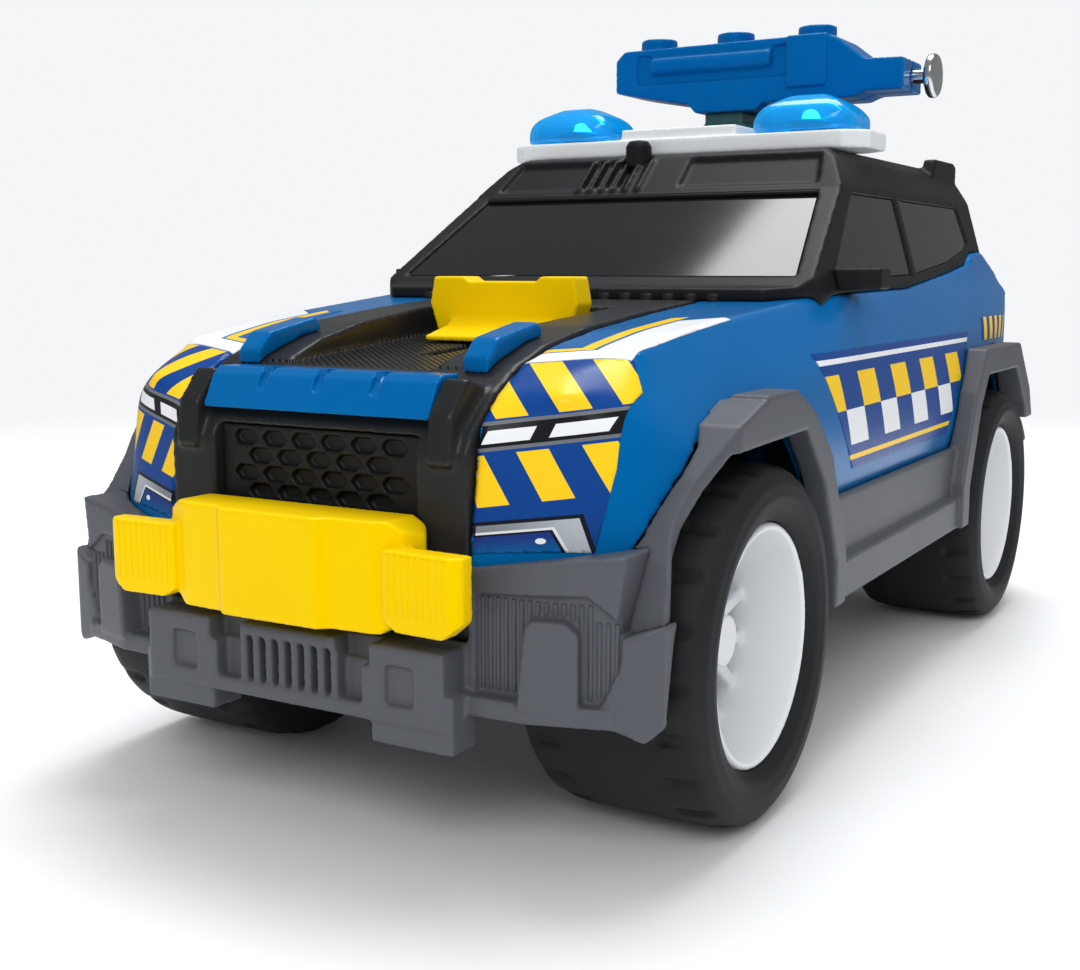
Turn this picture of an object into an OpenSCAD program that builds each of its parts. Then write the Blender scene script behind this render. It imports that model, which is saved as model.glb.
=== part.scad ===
// Toy police off-road car: push-along chassis, spring-free ram bumper worked by a lever in the
// bonnet, roof light bar, and a turning water squirter with a pull-out plunger.
// X runs across the car with +X its left side, -Y is the front, Z is up from the ground.
// All sizes are millimetres.

/* [Wheels] */
// Distance between the two axles
wheelbase = 165; // [155:1:180]
// Width over the outer faces of the tyres
track_w = 125; // [123:0.5:131]
// Outer diameter of a tyre
tyre_d = 60; // [56:1:62]
// Width of a tyre
tyre_w = 33; // [29:0.5:34]
// Diameter of the rim under the tyre
rim_d = 40.6; // [36:0.2:44]
// Depth from the rim's edge to the spoked face
dish_depth = 12; // [9:0.5:16]
// Spokes in a wheel
spokes = 14; // [8:1:18]
// Diameter of the steel axles
axle_d = 4; // [3:0.25:5]
// Gap from a tyre to the nearest point of its wheel arch
arch_gap = 3.2; // [2.8:0.1:5]

/* [Body] */
// Width over the doors
body_w = 114; // [110:0.5:117]
// From the front axle to the nose
front_overhang = 40.5; // [39:0.5:46]
// From the rear axle to the tail
rear_overhang = 40.5; // [39:0.5:48]
// Lower edge of the painted body above the ground
skirt_z = 44; // [42:0.5:46]
// Top of the doors above the ground
belt_z = 86; // [84:0.5:90]
// Roof above the ground
roof_z = 117; // [113:0.5:122]
// Wall of the moulded shells
wall = 2; // [1.6:0.1:2.6]
// Half width of the black centre of the bonnet
bonnet_half = 29.5; // [27:0.5:31]

/* [Chassis] */
// Underside of the floor above the ground
floor_z = 24; // [22:0.5:25]
// Thickness of the floor
floor_t = 2.5; // [2:0.1:3.5]
// How far the wheel arch trim stands out from the doors
flare_out = 4.5; // [2.5:0.5:6]
// Width of the rear wheel arch trim seen from the side
flare_w = 6.5; // [5:0.5:8]
// How far the rear bumper stands behind the tail
rear_reach = 3; // [2:0.5:6]

/* [Ram] */
// How far the ram's front face stands ahead of the nose
ram_reach = 11; // [9:0.5:14]
// Width of the ram's middle block
ram_w = 49; // [44:0.5:54]
// Height of the ram's middle block
ram_h = 17; // [14:0.5:18]
// Travel of the ram from in to out
ram_travel = 20; // [10:0.5:22]
// Diameter of the ram's two guide rods
rod_d = 6; // [5:0.5:7]
// Distance between the guide rods
rod_pitch = 24; // [20:1:28]
// Width of the bonnet lever
lever_w = 32.8; // [26:0.2:33]

/* [Light bar and squirter] */
// Length of the light bar across the roof
bar_len = 90; // [86:1:96]
// Height of a blue dome
dome_h = 8.6; // [7:0.2:8.8]
// Distance from the front axle to the squirter's turning axis
turret_back = 126.5; // [122:0.5:132]
// Diameter of the turret's peg
peg_d = 10; // [8:0.5:12]
// Thickness of the squirter's body
gun_t = 16; // [14:0.5:18]
// Bore of the squirter's water cylinder
cylinder_d = 8; // [6:0.5:8]
// Pull of the plunger
plunger_travel = 21; // [15:0.5:21]
// Diameter of the bright plunger knob
knob_d = 10; // [8:0.5:10]
// Travel of the roof button
button_travel = 1.5; // [1:0.1:2]

/* [Electrics] */
// Diameter of a battery cell
cell_d = 10.5; // [10:0.1:11]
// Length of a battery cell
cell_len = 44.5; // [43:0.5:46]
// Diameter of the speaker
speaker_d = 28; // [24:1:30]
// Travel of the power switch
switch_travel = 4; // [3:0.5:5]

/* [Fits] */
// Gap between parts that move past each other
clear = 0.4; // [0.3:0.05:0.6]
// Radial clearance of shafts and slides in their bores
run_fit = 0.06; // [0.03:0.01:0.1]
// Gap between fixed parts that sit side by side
seam = 0.15; // [0.1:0.05:0.3]

/* [Hidden] */
$fn = 64;

blue = "#0062a8";
yellow = "#ffcf00";
black = "#2b2d2f";
trim_grey = "#5c6168";
white = "#e9eef0";
steel = "#b9bdc2";

// A length longer or wider than the car, for cuts that go right through
far = 200;

// Stations along the car
car_len = wheelbase + front_overhang + ram_reach + rear_overhang + rear_reach;
ram_front_y = -car_len / 2;
nose_y = ram_front_y + ram_reach;
front_axle_y = nose_y + front_overhang;
rear_axle_y = front_axle_y + wheelbase;
tail_y = rear_axle_y + rear_overhang;
bonnet_end_y = front_axle_y + 40;
turret_y = front_axle_y + turret_back;

// Stations across and up
half_w = body_w / 2;
flare_half = half_w + flare_out;
tyre_r = tyre_d / 2;
axle_z = tyre_r;
tyre_out_x = track_w / 2;
tyre_in_x = tyre_out_x - tyre_w;
rim_r = rim_d / 2;
rim_edge_x = tyre_out_x - 2;
rim_face_x = rim_edge_x - dish_depth;
pocket_x = rim_face_x - 5;
spoke_t = 2.4;
floor_top = floor_z + floor_t;
floor_half = tyre_in_x - 3.5;
sill_in_x = half_w - 11;
axle_end_x = rim_face_x + 4;

// Bonnet line: a straight rise from above the headlamps to the windscreen
bonnet_y0 = front_axle_y - 25.5;
bonnet_z0 = belt_z - 9.7;
bonnet_rise = 9.2;
function bonnet_z(y) = bonnet_z0 + (y - bonnet_y0) * tan(bonnet_rise);

// Ram levels
ram_z0 = 37.5;
rod_z = ram_z0 + 6.5;
channel_y0 = nose_y + 11;
channel_z0 = bonnet_z(channel_y0) - 0.7;
channel_rise = 3.4;
function channel_z(y) = channel_z0 + (y - channel_y0) * tan(channel_rise);
lever_y = front_axle_y + 19.5;
lever_t = 6;
post_y = lever_y - 4;
post_half = 4;
post_t = 3.2;
crosshead_y1 = lever_y + 1;
crosshead_y0 = crosshead_y1 - 14;

// Roof levels
bar_z0 = roof_z;
bar_z1 = bar_z0 + 4;
bar_y0 = front_axle_y + 92;
bar_y1 = bar_y0 + 20;
dome_x = bar_len / 2 - 15.5;
dome_half = 12;
socket_z1 = bar_z0 + 7;
gun_z0 = bar_z1 + dome_h + 1.2;
gun_axis_z = gun_z0 + 4.5;
gun_y0 = turret_y - gun_t / 2;
gun_y1 = turret_y + gun_t / 2;
neck_x = 45;
cylinder_x0 = -2;
cylinder_x1 = cylinder_x0 + plunger_travel + 7;
cylinder_wall = 1.4;
plunger_rod_d = 3.2;
knob_x = neck_x + 3;
button_x = -7;
button_y = front_axle_y + 88;
button_r = 3;

// Battery box, seen from below
battery_y0 = front_axle_y + 50;
battery_y1 = battery_y0 + cell_len + 6;
battery_half = cell_d + 2.5;
battery_top = floor_z + cell_d + 5;

// Screw places on the floor
screw_x = half_w - 16;
screw_ys = [front_axle_y + 44, rear_axle_y - 44];
screw_d = 3;
post_d = 7;
post_tops = [belt_z - 1.2, belt_z + 0.6];

// Outline moved inwards by d, corner by corner; outlines run anticlockwise
function inset(p, d) = [for (i = [0 : len(p) - 1])
    let (a = p[(i + len(p) - 1) % len(p)], b = p[i], c = p[(i + 1) % len(p)],
        u = (b - a) / norm(b - a), v = (c - b) / norm(c - b),
        nu = [-u[1], u[0]], nv = [-v[1], v[0]])
    b + (nu + nv) * d / (1 + nu * nv)];

// Half outline on the +X side, closed by its mirror image
function mirrored(half) = concat(half, [for (i = [len(half) - 1 : -1 : 0]) [-half[i][0], half[i][1]]]);

// Prism along X from an outline of [y, z]
module side_prism(points, x0, x1)
    translate([x0, 0, 0]) rotate([90, 0, 90]) linear_extrude(x1 - x0) polygon(points);

// Prism along Y from an outline of [x, z]
module cross_prism(points, y0, y1)
    translate([0, y1, 0]) rotate([90, 0, 0]) linear_extrude(y1 - y0) polygon(points);

// Prism along Z from an outline of [x, y]
module plan_prism(points, z0, z1)
    translate([0, 0, z0]) linear_extrude(z1 - z0) polygon(points);

// Box from its lowest corner to its highest
module block(low, high) translate(low) cube(high - low);

// Round bar along X
module bar_x(r, x0, x1, y, z) translate([x0, y, z]) rotate([0, 90, 0]) cylinder(r = r, h = x1 - x0);

// Round bar along Y
module bar_y(r, y0, y1, x, z) translate([x, y1, z]) rotate([90, 0, 0]) cylinder(r = r, h = y1 - y0);

// Upright round bar
module bar_z(r, z0, z1, x, y) translate([x, y, z0]) cylinder(r = r, h = z1 - z0);

// The part and its mirror image across the car
module both_sides() {
    children();
    mirror([1, 0, 0]) children();
}

// Top of the wings and bonnet sides, from the cowl forward
wing_top = [[front_axle_y + 17, belt_z - 3.2], [front_axle_y - 3.5, belt_z - 5.2],
    [front_axle_y - 17, belt_z - 7.4], [bonnet_y0, belt_z - 9.7]];

// Outlines of the painted body
body_side = concat([
    [nose_y, skirt_z], [tail_y, skirt_z], [tail_y, belt_z - 10], [tail_y - 2, belt_z - 2],
    [tail_y - 9, belt_z + 4], [rear_axle_y + 18, belt_z + 9.5], [rear_axle_y + 9, belt_z + 9],
    [rear_axle_y + 2, belt_z + 6], [rear_axle_y - 16, belt_z + 4], [rear_axle_y - 56, belt_z + 0.5],
    [front_axle_y + 52, belt_z - 0.3]], wing_top, [[nose_y + 8, belt_z - 13.5], [nose_y + 3, belt_z - 18],
    [nose_y, belt_z - 24]]);

body_plan = mirrored([
    [26, nose_y - 6], [half_w - 1, nose_y - 6], [half_w, nose_y + 50], [half_w, rear_axle_y - 20],
    [half_w - 1, rear_axle_y + 6], [half_w - 2.6, rear_axle_y + 25], [half_w - 4, tail_y - 4.5],
    [half_w - 8, tail_y]]);

// Front of the body in plan at bumper height, leaning back as it rises
nose_lean = 9;
nose_lean_z = 55;
nose_plan = mirrored([
    [bonnet_half - 5.5, nose_y - 0.5], [bonnet_half + 0.5, nose_y + 0.7], [half_w - 13, nose_y + 6.4],
    [half_w - 8.5, nose_y + 9], [half_w - 5, nose_y + 12], [half_w - 2, nose_y + 18],
    [half_w - 0.7, nose_y + 28], [half_w + 4, nose_y + 60], [half_w + 4, tail_y + far]]);

body_cross = mirrored([
    [half_w - 2, skirt_z], [half_w - 0.5, skirt_z + 5], [half_w, skirt_z + 13], [half_w - 0.3, skirt_z + 22],
    [half_w - 1.6, belt_z - 10], [half_w - 4.2, belt_z - 2], [half_w - 6.2, belt_z + 2],
    [half_w - 8, belt_z + 14]]);

// Slopes from the crest of a front wing down to the wheel arch and to the lamp corner, as [turn, tilt]
wing_slopes = [[-7, 33.6], [-45, 51]];
module wing_slope(d) for (slope = wing_slopes)
    translate([half_w - 11, front_axle_y - 17, belt_z - 7.4]) rotate([0, 0, slope[0]]) rotate([0, -slope[1], 0])
        block([-d, -far, -far], [far, far, far]);

// Solid outer form of the painted body, shrunk by d all round
module body_form(d)
    difference() {
        intersection() {
            side_prism(inset(body_side, d), -far, far);
            plan_prism(inset(body_plan, d), 0, far);
            translate([0, nose_y, nose_lean_z]) rotate([-nose_lean, 0, 0]) translate([0, -nose_y, 0])
                plan_prism(inset(nose_plan, d), -far, far);
            cross_prism(inset(body_cross, d), -far, far);
        }
        both_sides() wing_slope(d);
    }

// Wheel openings seen from the side, scaled to the tyre
arch_scale = (tyre_r + arch_gap) / 33.2;
function arch(points, y) = [for (p = points) [y, axle_z] + p * arch_scale];
front_arch = arch([[33, -12], [33, 8], [25.5, 23.5], [15.5, 34], [-15.5, 33.2], [-21, 28], [-25, 23.3],
    [-29, 18], [-32.5, 8], [-34.5, -2], [-35, -12]], front_axle_y);
front_flare = arch([[38.5, -12], [38.5, 9], [29.5, 28], [20, 36.5], [13, 40.2], [-4, 40.4], [-14, 37.4],
    [-22.5, 30], [-27, 24.8], [-31, 19], [-35, 8], [-37.5, -12]], front_axle_y);
rear_arch = arch([[36, -12], [34, 10], [26, 24.5], [14, 35], [-18, 35], [-24.5, 27.5], [-33, 9], [-33, -12]],
    rear_axle_y);

// Outlines of the bumpers from the front: the corners rise to meet the wheel arch trim
bumper_z0 = floor_z + 1.5;
wedge_x = flare_half - 2.2;
bumper_cross = [[bonnet_half + 0.3, 36], [bonnet_half - 9, 36], [bonnet_half - 9, bumper_z0],
    [half_w - 5, bumper_z0], [half_w, bumper_z0 - 1.8], [wedge_x, bumper_z0 + 0.5], [wedge_x, skirt_z - 3.1],
    [half_w - 4.1, skirt_z - 5.3], [half_w - 2.8, skirt_z + 6.8], [bonnet_half + 0.3, skirt_z + 3.5]];
// Recessed wall of a bumper wing, from the front, and how deep it lies
wing_recess = [[bonnet_half + 1.7, bumper_z0 + 3.1], [half_w - 6.3, bumper_z0 + 3.1],
    [half_w - 3.4, skirt_z - 9], [half_w - 3.4, skirt_z - 3], [half_w - 8.3, skirt_z + 0.6],
    [bonnet_half + 1.7, skirt_z - 0.4]];
recess_depth = 1.2;
function flipped(p) = [for (i = [len(p) - 1 : -1 : 0]) p[i]];

// Painted shell: doors, wings and tail in one moulding, with screw posts down to the floor
module body_shell() color(blue) difference() {
    union() {
        difference() {
            body_form(0);
            body_form(wall);
            plan_prism(inset(body_plan, wall), skirt_z - 1, skirt_z + wall + 0.1);
            block([-bonnet_half - seam, nose_y - far, 0], [bonnet_half + seam, bonnet_end_y + seam, far]);
            block([21 - half_w, front_axle_y + 56, belt_z - 20], [half_w - 21, rear_axle_y + 8, far]);
            side_prism(inset(front_arch, -1.5), -far, far);
            side_prism(inset(rear_arch, -1.5), -far, far);
        }
        both_sides() for (i = [0, 1]) bar_z(post_d / 2, floor_top, post_tops[i], screw_x, screw_ys[i]);
    }
    both_sides() for (y = screw_ys) bar_z(screw_d / 2 + run_fit, floor_top - 1, floor_top + 12, screw_x, y);
}

// Axle bearing block on the floor
module bearing(y)
    block([floor_half - 6, y - 6, floor_top - 0.1], [floor_half, y + 6, axle_z + 5]);

// Rounded liner behind and above a wheel
tub_r = tyre_r + 2.6;
tub_t = 1.4;
module wheel_tub(y) difference() {
    bar_x(tub_r + tub_t, floor_half - 0.1, sill_in_x - 1, y, axle_z);
    bar_x(tub_r, floor_half + tub_t, sill_in_x, y, axle_z);
    block([0, y - far, -far], [far, y + far, floor_z]);
}

// Floor with bearings, wheel liners, battery box, speaker holes and switch slot
module floor_pan() color(black) difference() {
    union() {
        block([-floor_half, nose_y + 7, floor_z], [floor_half, tail_y - 7, floor_top]);
        block([-sill_in_x, front_axle_y + tub_r + 1, floor_z], [sill_in_x, rear_axle_y - tub_r - 1, floor_top]);
        both_sides() for (y = [front_axle_y, rear_axle_y]) {
            bearing(y);
            wheel_tub(y);
        }
        block([-battery_half - 1.5, battery_y0 - 1.5, floor_z],
            [battery_half + 1.5, battery_y1 + 1.5, battery_top]);
        block([-5, battery_y1 + 1.4, floor_top - 0.1], [5, battery_y1 + 8, floor_top + 6]);
        bar_z(speaker_d / 2 + 1.5, floor_top - 0.1, floor_top + 4, 0, speaker_y);
    }
    for (y = [front_axle_y, rear_axle_y]) bar_x(axle_d / 2 + run_fit, -far, far, y, axle_z);
    block([-battery_half, battery_y0, floor_z - 1], [battery_half, battery_y1, battery_top - 1.5]);
    bar_z(speaker_d / 2 + seam, floor_top, floor_top + 9, 0, speaker_y);
    for (a = [0 : 60 : 300])
        bar_z(1.5, floor_z - 1, floor_top + 1, 7 * cos(a), speaker_y + 7 * sin(a));
    block([switch_x - 2.2, switch_y - 3 - switch_travel / 2 - clear, floor_z - 1],
        [switch_x + 2.2, switch_y + 3 + switch_travel / 2 + clear, floor_top + 1]);
    both_sides() for (y = screw_ys) {
        bar_z(screw_d / 2 + run_fit, floor_z - 1, floor_top + 1, screw_x, y);
        bar_z(screw_d + seam, floor_z - 1, floor_z + 1.4, screw_x, y);
    }
    block([-5 - seam, battery_y1 - 1, floor_z - 1], [5 + seam, battery_y1 + 8 + seam, floor_z + door_t]);
    bar_z(1 + run_fit, floor_z, floor_top + 5, 0, door_screw_y);
}
door_t = 1.6;
door_screw_y = battery_y1 + 4.5;
speaker_y = battery_y1 + speaker_d / 2 + 12;
switch_x = battery_half + 14;
switch_y = battery_y0 + 22;

// Front bumper: ribbed skid plate with feet, swept wings, pads and corner wedges
skid_half = bonnet_half;
skid_front_y = nose_y - 7;
module front_bumper() color(trim_grey) difference() {
    union() {
        difference() {
            union() {
                block([-skid_half, skid_front_y, floor_z - 0.5], [skid_half, nose_y + 6.8, 35.5]);
                both_sides() {
                    block([15.9, skid_front_y + 0.6, 20], [skid_half + 1.2, nose_y + 0.5, 29]);
                    intersection() {
                        cross_prism(flipped(bumper_cross), nose_y - 8, nose_y + 16);
                        plan_prism([[bonnet_half - 9, nose_y - 1.5], [half_w - 16, nose_y - 0.3],
                            [half_w - 3, nose_y + 2.4], [half_w + 0.5, nose_y + 3.4], [wedge_x, nose_y + 5],
                            [wedge_x, nose_y + 15], [half_w - 13, nose_y + 15],
                            [bonnet_half - 9, nose_y + 6.8]], 0, far);
                    }
                }
            }
            block([-14.5, skid_front_y - 1, 26], [14.5, skid_front_y + 2.8, 33.5]);
            both_sides() {
                block([19, skid_front_y - 1, 26.5], [24, skid_front_y + 1.2, 32.5]);
                block([9.5, skid_front_y - 1, 32], [16, skid_front_y + 4, 36]);
                intersection() {
                    cross_prism(wing_recess, -far, far);
                    translate([0, recess_depth, 0]) plan_prism([[bonnet_half - 9, -far], [wedge_x, -far],
                        [half_w - 3, nose_y + 2.4], [half_w - 16, nose_y - 0.3],
                        [bonnet_half - 9, nose_y - 1.5]], 0, far);
                }
            }
        }
        for (x = [-9.1 : 2.6 : 9.1])
            block([x - 0.7, skid_front_y + 0.3, 25.5], [x + 0.7, skid_front_y + 3, 33.6]);
        both_sides() {
            translate([half_w - 13.5, nose_y + 0.2, 34.3]) rotate([0, 0, 17.5])
                cross_prism([[-4.8, -6.7], [4.4, -6.7], [4.4, 5], [2.4, 6.7], [-2.6, 6.7], [-3.6, 5.6]], -2, 3);
            intersection() {
                side_prism([[nose_y - 8, bumper_z0], [nose_y + 12, bumper_z0], [nose_y + 12, bumper_z0 + 3.1],
                    [nose_y - 8, bumper_z0 + 3.1]], bonnet_half - 6, half_w - 4);
                plan_prism([[bonnet_half - 9, nose_y - 3.5], [half_w - 16, nose_y - 2.3],
                    [half_w - 3, nose_y + 1.8], [half_w - 3, nose_y + 10], [bonnet_half - 9, nose_y + 6]],
                    0, far);
            }
        }
    }
    body_form(-seam);
    side_prism(inset(front_arch, 0.6), -far, far);
    bar_x(tub_r + tub_t + seam, -sill_in_x, sill_in_x, front_axle_y, axle_z);
    block([-bonnet_half - seam, nose_y - 0.2, 35.5 + seam], [bonnet_half + seam, nose_y + 20, far]);
}

// Rear bumper with a recessed middle
module rear_bumper() color(trim_grey) difference() {
    intersection() {
        block([-flare_half, tail_y - 14, floor_z + 1], [flare_half, tail_y + rear_reach, skirt_z + 6]);
        plan_prism(mirrored([[floor_half, tail_y - 6.9], [flare_half - 2, tail_y - 14],
            [flare_half, tail_y - 9], [flare_half - 6, tail_y - 1], [flare_half - 15, tail_y + rear_reach]]),
            0, far);
        cross_prism(mirrored([[flare_half - 21.5, floor_z + 1], [flare_half, floor_z + 5],
            [flare_half, skirt_z - 1], [flare_half - 3, skirt_z + 6]]), -far, far);
    }
    body_form(-seam);
    side_prism(rear_arch, -far, far);
    block([-24, tail_y + rear_reach - 2, floor_z + 6], [24, tail_y + 20, skirt_z]);
}

// Wheel arch trim and sill of the left side, one moulding clipped over the body's edge
sill_y0 = front_axle_y + 20;
sill_y1 = rear_axle_y - 20;
module cladding_left() color(trim_grey) difference() {
    union() {
        intersection() {
            side_prism(front_flare, sill_in_x, flare_half);
            plan_prism([[0, nose_y], [wedge_x, nose_y], [wedge_x - 0.8, front_axle_y - 32],
                [half_w, front_axle_y - 28.5], [half_w, front_axle_y - 25.5], [half_w + 1.5, front_axle_y - 21],
                [flare_half, front_axle_y - 14], [flare_half, rear_axle_y], [0, rear_axle_y]],
                floor_z + 5.5, far);
        }
        intersection() {
            side_prism(inset(rear_arch, -flare_w), sill_in_x, flare_half);
            block([0, -far, floor_z + 5.5], [far, far, far]);
        }
        side_prism([[sill_y0, floor_z + 5.5], [sill_y1, floor_z + 5.5], [sill_y1, skirt_z + 4.5],
            [sill_y0, skirt_z + 4.5]], sill_in_x, half_w + 1.2);
        side_prism([[sill_y0, floor_z + 5.5], [sill_y1, floor_z + 5.5], [sill_y1, skirt_z - 7],
            [sill_y0, skirt_z - 7]], sill_in_x, flare_half - 1.2);
        block([half_w - 2, front_axle_y - 3, axle_z + 38 * arch_scale],
            [flare_half, front_axle_y + 11, axle_z + 40.2 * arch_scale + 1]);
    }
    body_form(-seam);
    side_prism(front_arch, -far, far);
    side_prism(rear_arch, -far, far);
    cross_prism(inset(flipped(bumper_cross), -seam), -far, front_axle_y - 20);
    block([0, -far, 0], [far, front_axle_y - 20, skirt_z - 8]);
    block([0, rear_axle_y + 20, 0], [far, far, skirt_z + 6 + seam]);
}
module cladding_right() mirror([1, 0, 0]) cladding_left();

// Side outline of the black bonnet centre, from the foot of the grille to the windscreen
bonnet_side = [
    [nose_y, 36], [nose_y + 5, 36], [nose_y + 5, bonnet_z0 - 13], [nose_y + 12, bonnet_z0 - 6.3],
    [bonnet_end_y, bonnet_z0 - 1], [bonnet_end_y, belt_z - 1], [front_axle_y + 17, belt_z - 2.6],
    [front_axle_y - 3.5, belt_z - 4.6], [front_axle_y - 17, belt_z - 7], [bonnet_y0, bonnet_z0],
    [nose_y + 8, bonnet_z0 - 3.8], [nose_y + 1.5, bonnet_z0 - 9.6], [nose_y, bonnet_z0 - 12.5]];
grille_half = bonnet_half - 9.5;
grille_z0 = 50;
grille_z1 = bonnet_z0 - 10.3;
web_y = front_axle_y - 20;

// Black bonnet centre: grille surround, lever channel and the guides of the ram's rods
module bonnet_frame() color(black) difference() {
    union() {
        side_prism(bonnet_side, -bonnet_half, bonnet_half);
        both_sides() side_prism([[nose_y - 1.5, grille_z1 - 4], [nose_y + 3, grille_z1 - 4],
            [nose_y + 9, bonnet_z0 - 3], [nose_y + 4, bonnet_z0 - 1.5], [nose_y - 0.5, grille_z1 + 3.5]],
            bonnet_half - 6.7, bonnet_half - 2.3);
        block([-floor_half + 1, web_y - 1.5, rod_z - rod_d], [floor_half - 1, web_y + 1.5, bonnet_z0 - 2]);
    }
    block([-grille_half, nose_y - far, grille_z0], [grille_half, nose_y + 5.1, grille_z1]);
    intersection() {
        side_prism([[channel_y0, channel_z0], [lever_y + 5, channel_z(lever_y + 5)], [lever_y + 5, far],
            [channel_y0, far]], -far, far);
        plan_prism(mirrored([[14.5, channel_y0], [20.5, lever_y + 5]]), 0, far);
    }
    block([-post_t / 2 - clear, post_y - post_half - ram_travel - clear, 60],
        [post_t / 2 + clear, post_y + post_half + clear, far]);
    both_sides() bar_y(rod_d / 2 + run_fit, nose_y - far, web_y + 5, rod_pitch / 2, rod_z);
}

// Grille insert with staggered rows of wide six-sided pockets
grille_pitch = 2 * grille_half / 6.7;
grille_row = (grille_z1 - grille_z0) / 5.5;
module grille() color(black) difference() {
    block([-grille_half + seam, nose_y + 2, grille_z0 + seam],
        [grille_half - seam, nose_y + 4, grille_z1 - seam]);
    for (row = [0 : 4], i = [0 : 5 - row % 2])
        translate([(i - 2.5 + (row % 2) / 2) * grille_pitch, 0, grille_z0 + (row + 0.75) * grille_row])
            cross_prism([for (corner = [[1, 0], [0.58, 1], [-0.58, 1], [-1, 0], [-0.58, -1], [0.58, -1]])
                [corner[0] * 0.44 * grille_pitch, corner[1] * 0.42 * grille_row]], nose_y, nose_y + 3.3);
}

// Blue bar across the nose, notched into four lobes
nose_bar_half = bonnet_half - 7.1;
module nose_bar() color(blue) difference() {
    side_prism([[nose_y + 0.2, grille_z1 + 2.6], [nose_y + 8, grille_z1 + 2.6], [nose_y + 9, bonnet_z0 - 1.2],
        [nose_y + 4.4, bonnet_z0 - 1.2], [nose_y + 2.8, bonnet_z0 - 2.4]], -nose_bar_half, nose_bar_half);
    side_prism(inset(bonnet_side, -0.02), -far, far);
    for (lobe = [-1, 0, 1]) translate([lobe * nose_bar_half / 2, nose_y + 3.6, bonnet_z0 - 1.6])
        rotate([45, 0, 0]) block([-0.9, -3.4, -1.1], [0.9, 3.4, 4]);
}

// Blue rail beside the lever channel
module bonnet_rail_left() color(blue) difference() {
    side_prism([[bonnet_y0 - 3, bonnet_z0 - 3], [bonnet_y0 + 14, bonnet_z0 + 1],
        [bonnet_y0 + 14, bonnet_z0 + 5.2], [bonnet_y0 + 12.5, bonnet_z0 + 6.1],
        [bonnet_y0 + 0.5, bonnet_z0 + 4], [bonnet_y0 - 2.6, bonnet_z0 + 1]],
        bonnet_half - 8.9, bonnet_half - 4.1);
    side_prism(inset(bonnet_side, -0.02), -far, far);
}
module bonnet_rail_right() mirror([1, 0, 0]) bonnet_rail_left();

// Outlines of the black cabin
screen_y0 = bonnet_end_y + 6.5;
screen_z0 = belt_z + 1.6;
screen_y1 = screen_y0 + 31;
screen_z1 = roof_z - 9.4;
cabin_rear_y = rear_axle_y + 21;
cabin_side = [
    [bonnet_end_y + 0.3, belt_z - 4], [cabin_rear_y + 1, belt_z - 4], [cabin_rear_y + 1, belt_z + 10],
    [cabin_rear_y - 1, roof_z - 4], [cabin_rear_y - 4, roof_z], [screen_y1 + 12, roof_z],
    [screen_y1 + 10, roof_z - 0.6], [screen_y1, screen_z1], [screen_y0, screen_z0],
    [bonnet_end_y + 0.3, belt_z + 1.2]];
cabin_cross = mirrored([
    [half_w - 5.8, belt_z - 4], [half_w - 6.2, belt_z], [half_w - 12.2, screen_z1 + 1],
    [half_w - 16, roof_z - 2.5], [half_w - 19.5, roof_z]]);

cowl_plan = mirrored([[half_w - 15, bonnet_end_y - 1], [half_w - 5.5, bonnet_end_y + 11],
    [half_w, bonnet_end_y + 30], [half_w, tail_y]]);

// Solid outer form of the cabin, shrunk by d
module cabin_form(d) intersection() {
    side_prism(inset(cabin_side, d), -far, far);
    cross_prism(inset(cabin_cross, d), -far, far);
    plan_prism(inset(cowl_plan, d), 0, far);
}

// Skin of the cabin between two depths
module cabin_skin(d0, d1) difference() {
    cabin_form(d0);
    cabin_form(d1);
}

// Window openings, each grown by g
pillar_y = screen_y1 + 40;
module screen_hole(g) cross_prism(inset(mirrored([[half_w - 11.2, screen_z0 + 1.8],
    [half_w - 16.6, screen_z1 - 1]]), -g), bonnet_end_y - 5, screen_y1 + 4);
module side_holes(g) {
    side_prism(inset([[screen_y0 + 14, belt_z + 2.6], [pillar_y - 1.5, belt_z + 3.6],
        [pillar_y - 3, screen_z1 - 1], [screen_y1 + 7, screen_z1 - 1]], -g), half_w / 2, far);
    side_prism(inset([[pillar_y + 2.5, belt_z + 3.8], [rear_axle_y - 14, belt_z + 6.6],
        [rear_axle_y + 4, belt_z + 9.6], [rear_axle_y + 10, belt_z + 11.8], [rear_axle_y + 6, screen_z1 - 1],
        [pillar_y + 1, screen_z1 - 1]], -g), half_w / 2, far);
}
module rear_hole(g) cross_prism(inset(mirrored([[half_w - 14, belt_z + 12], [half_w - 18, screen_z1 + 2]]), -g),
    cabin_rear_y - 6, far);

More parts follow.
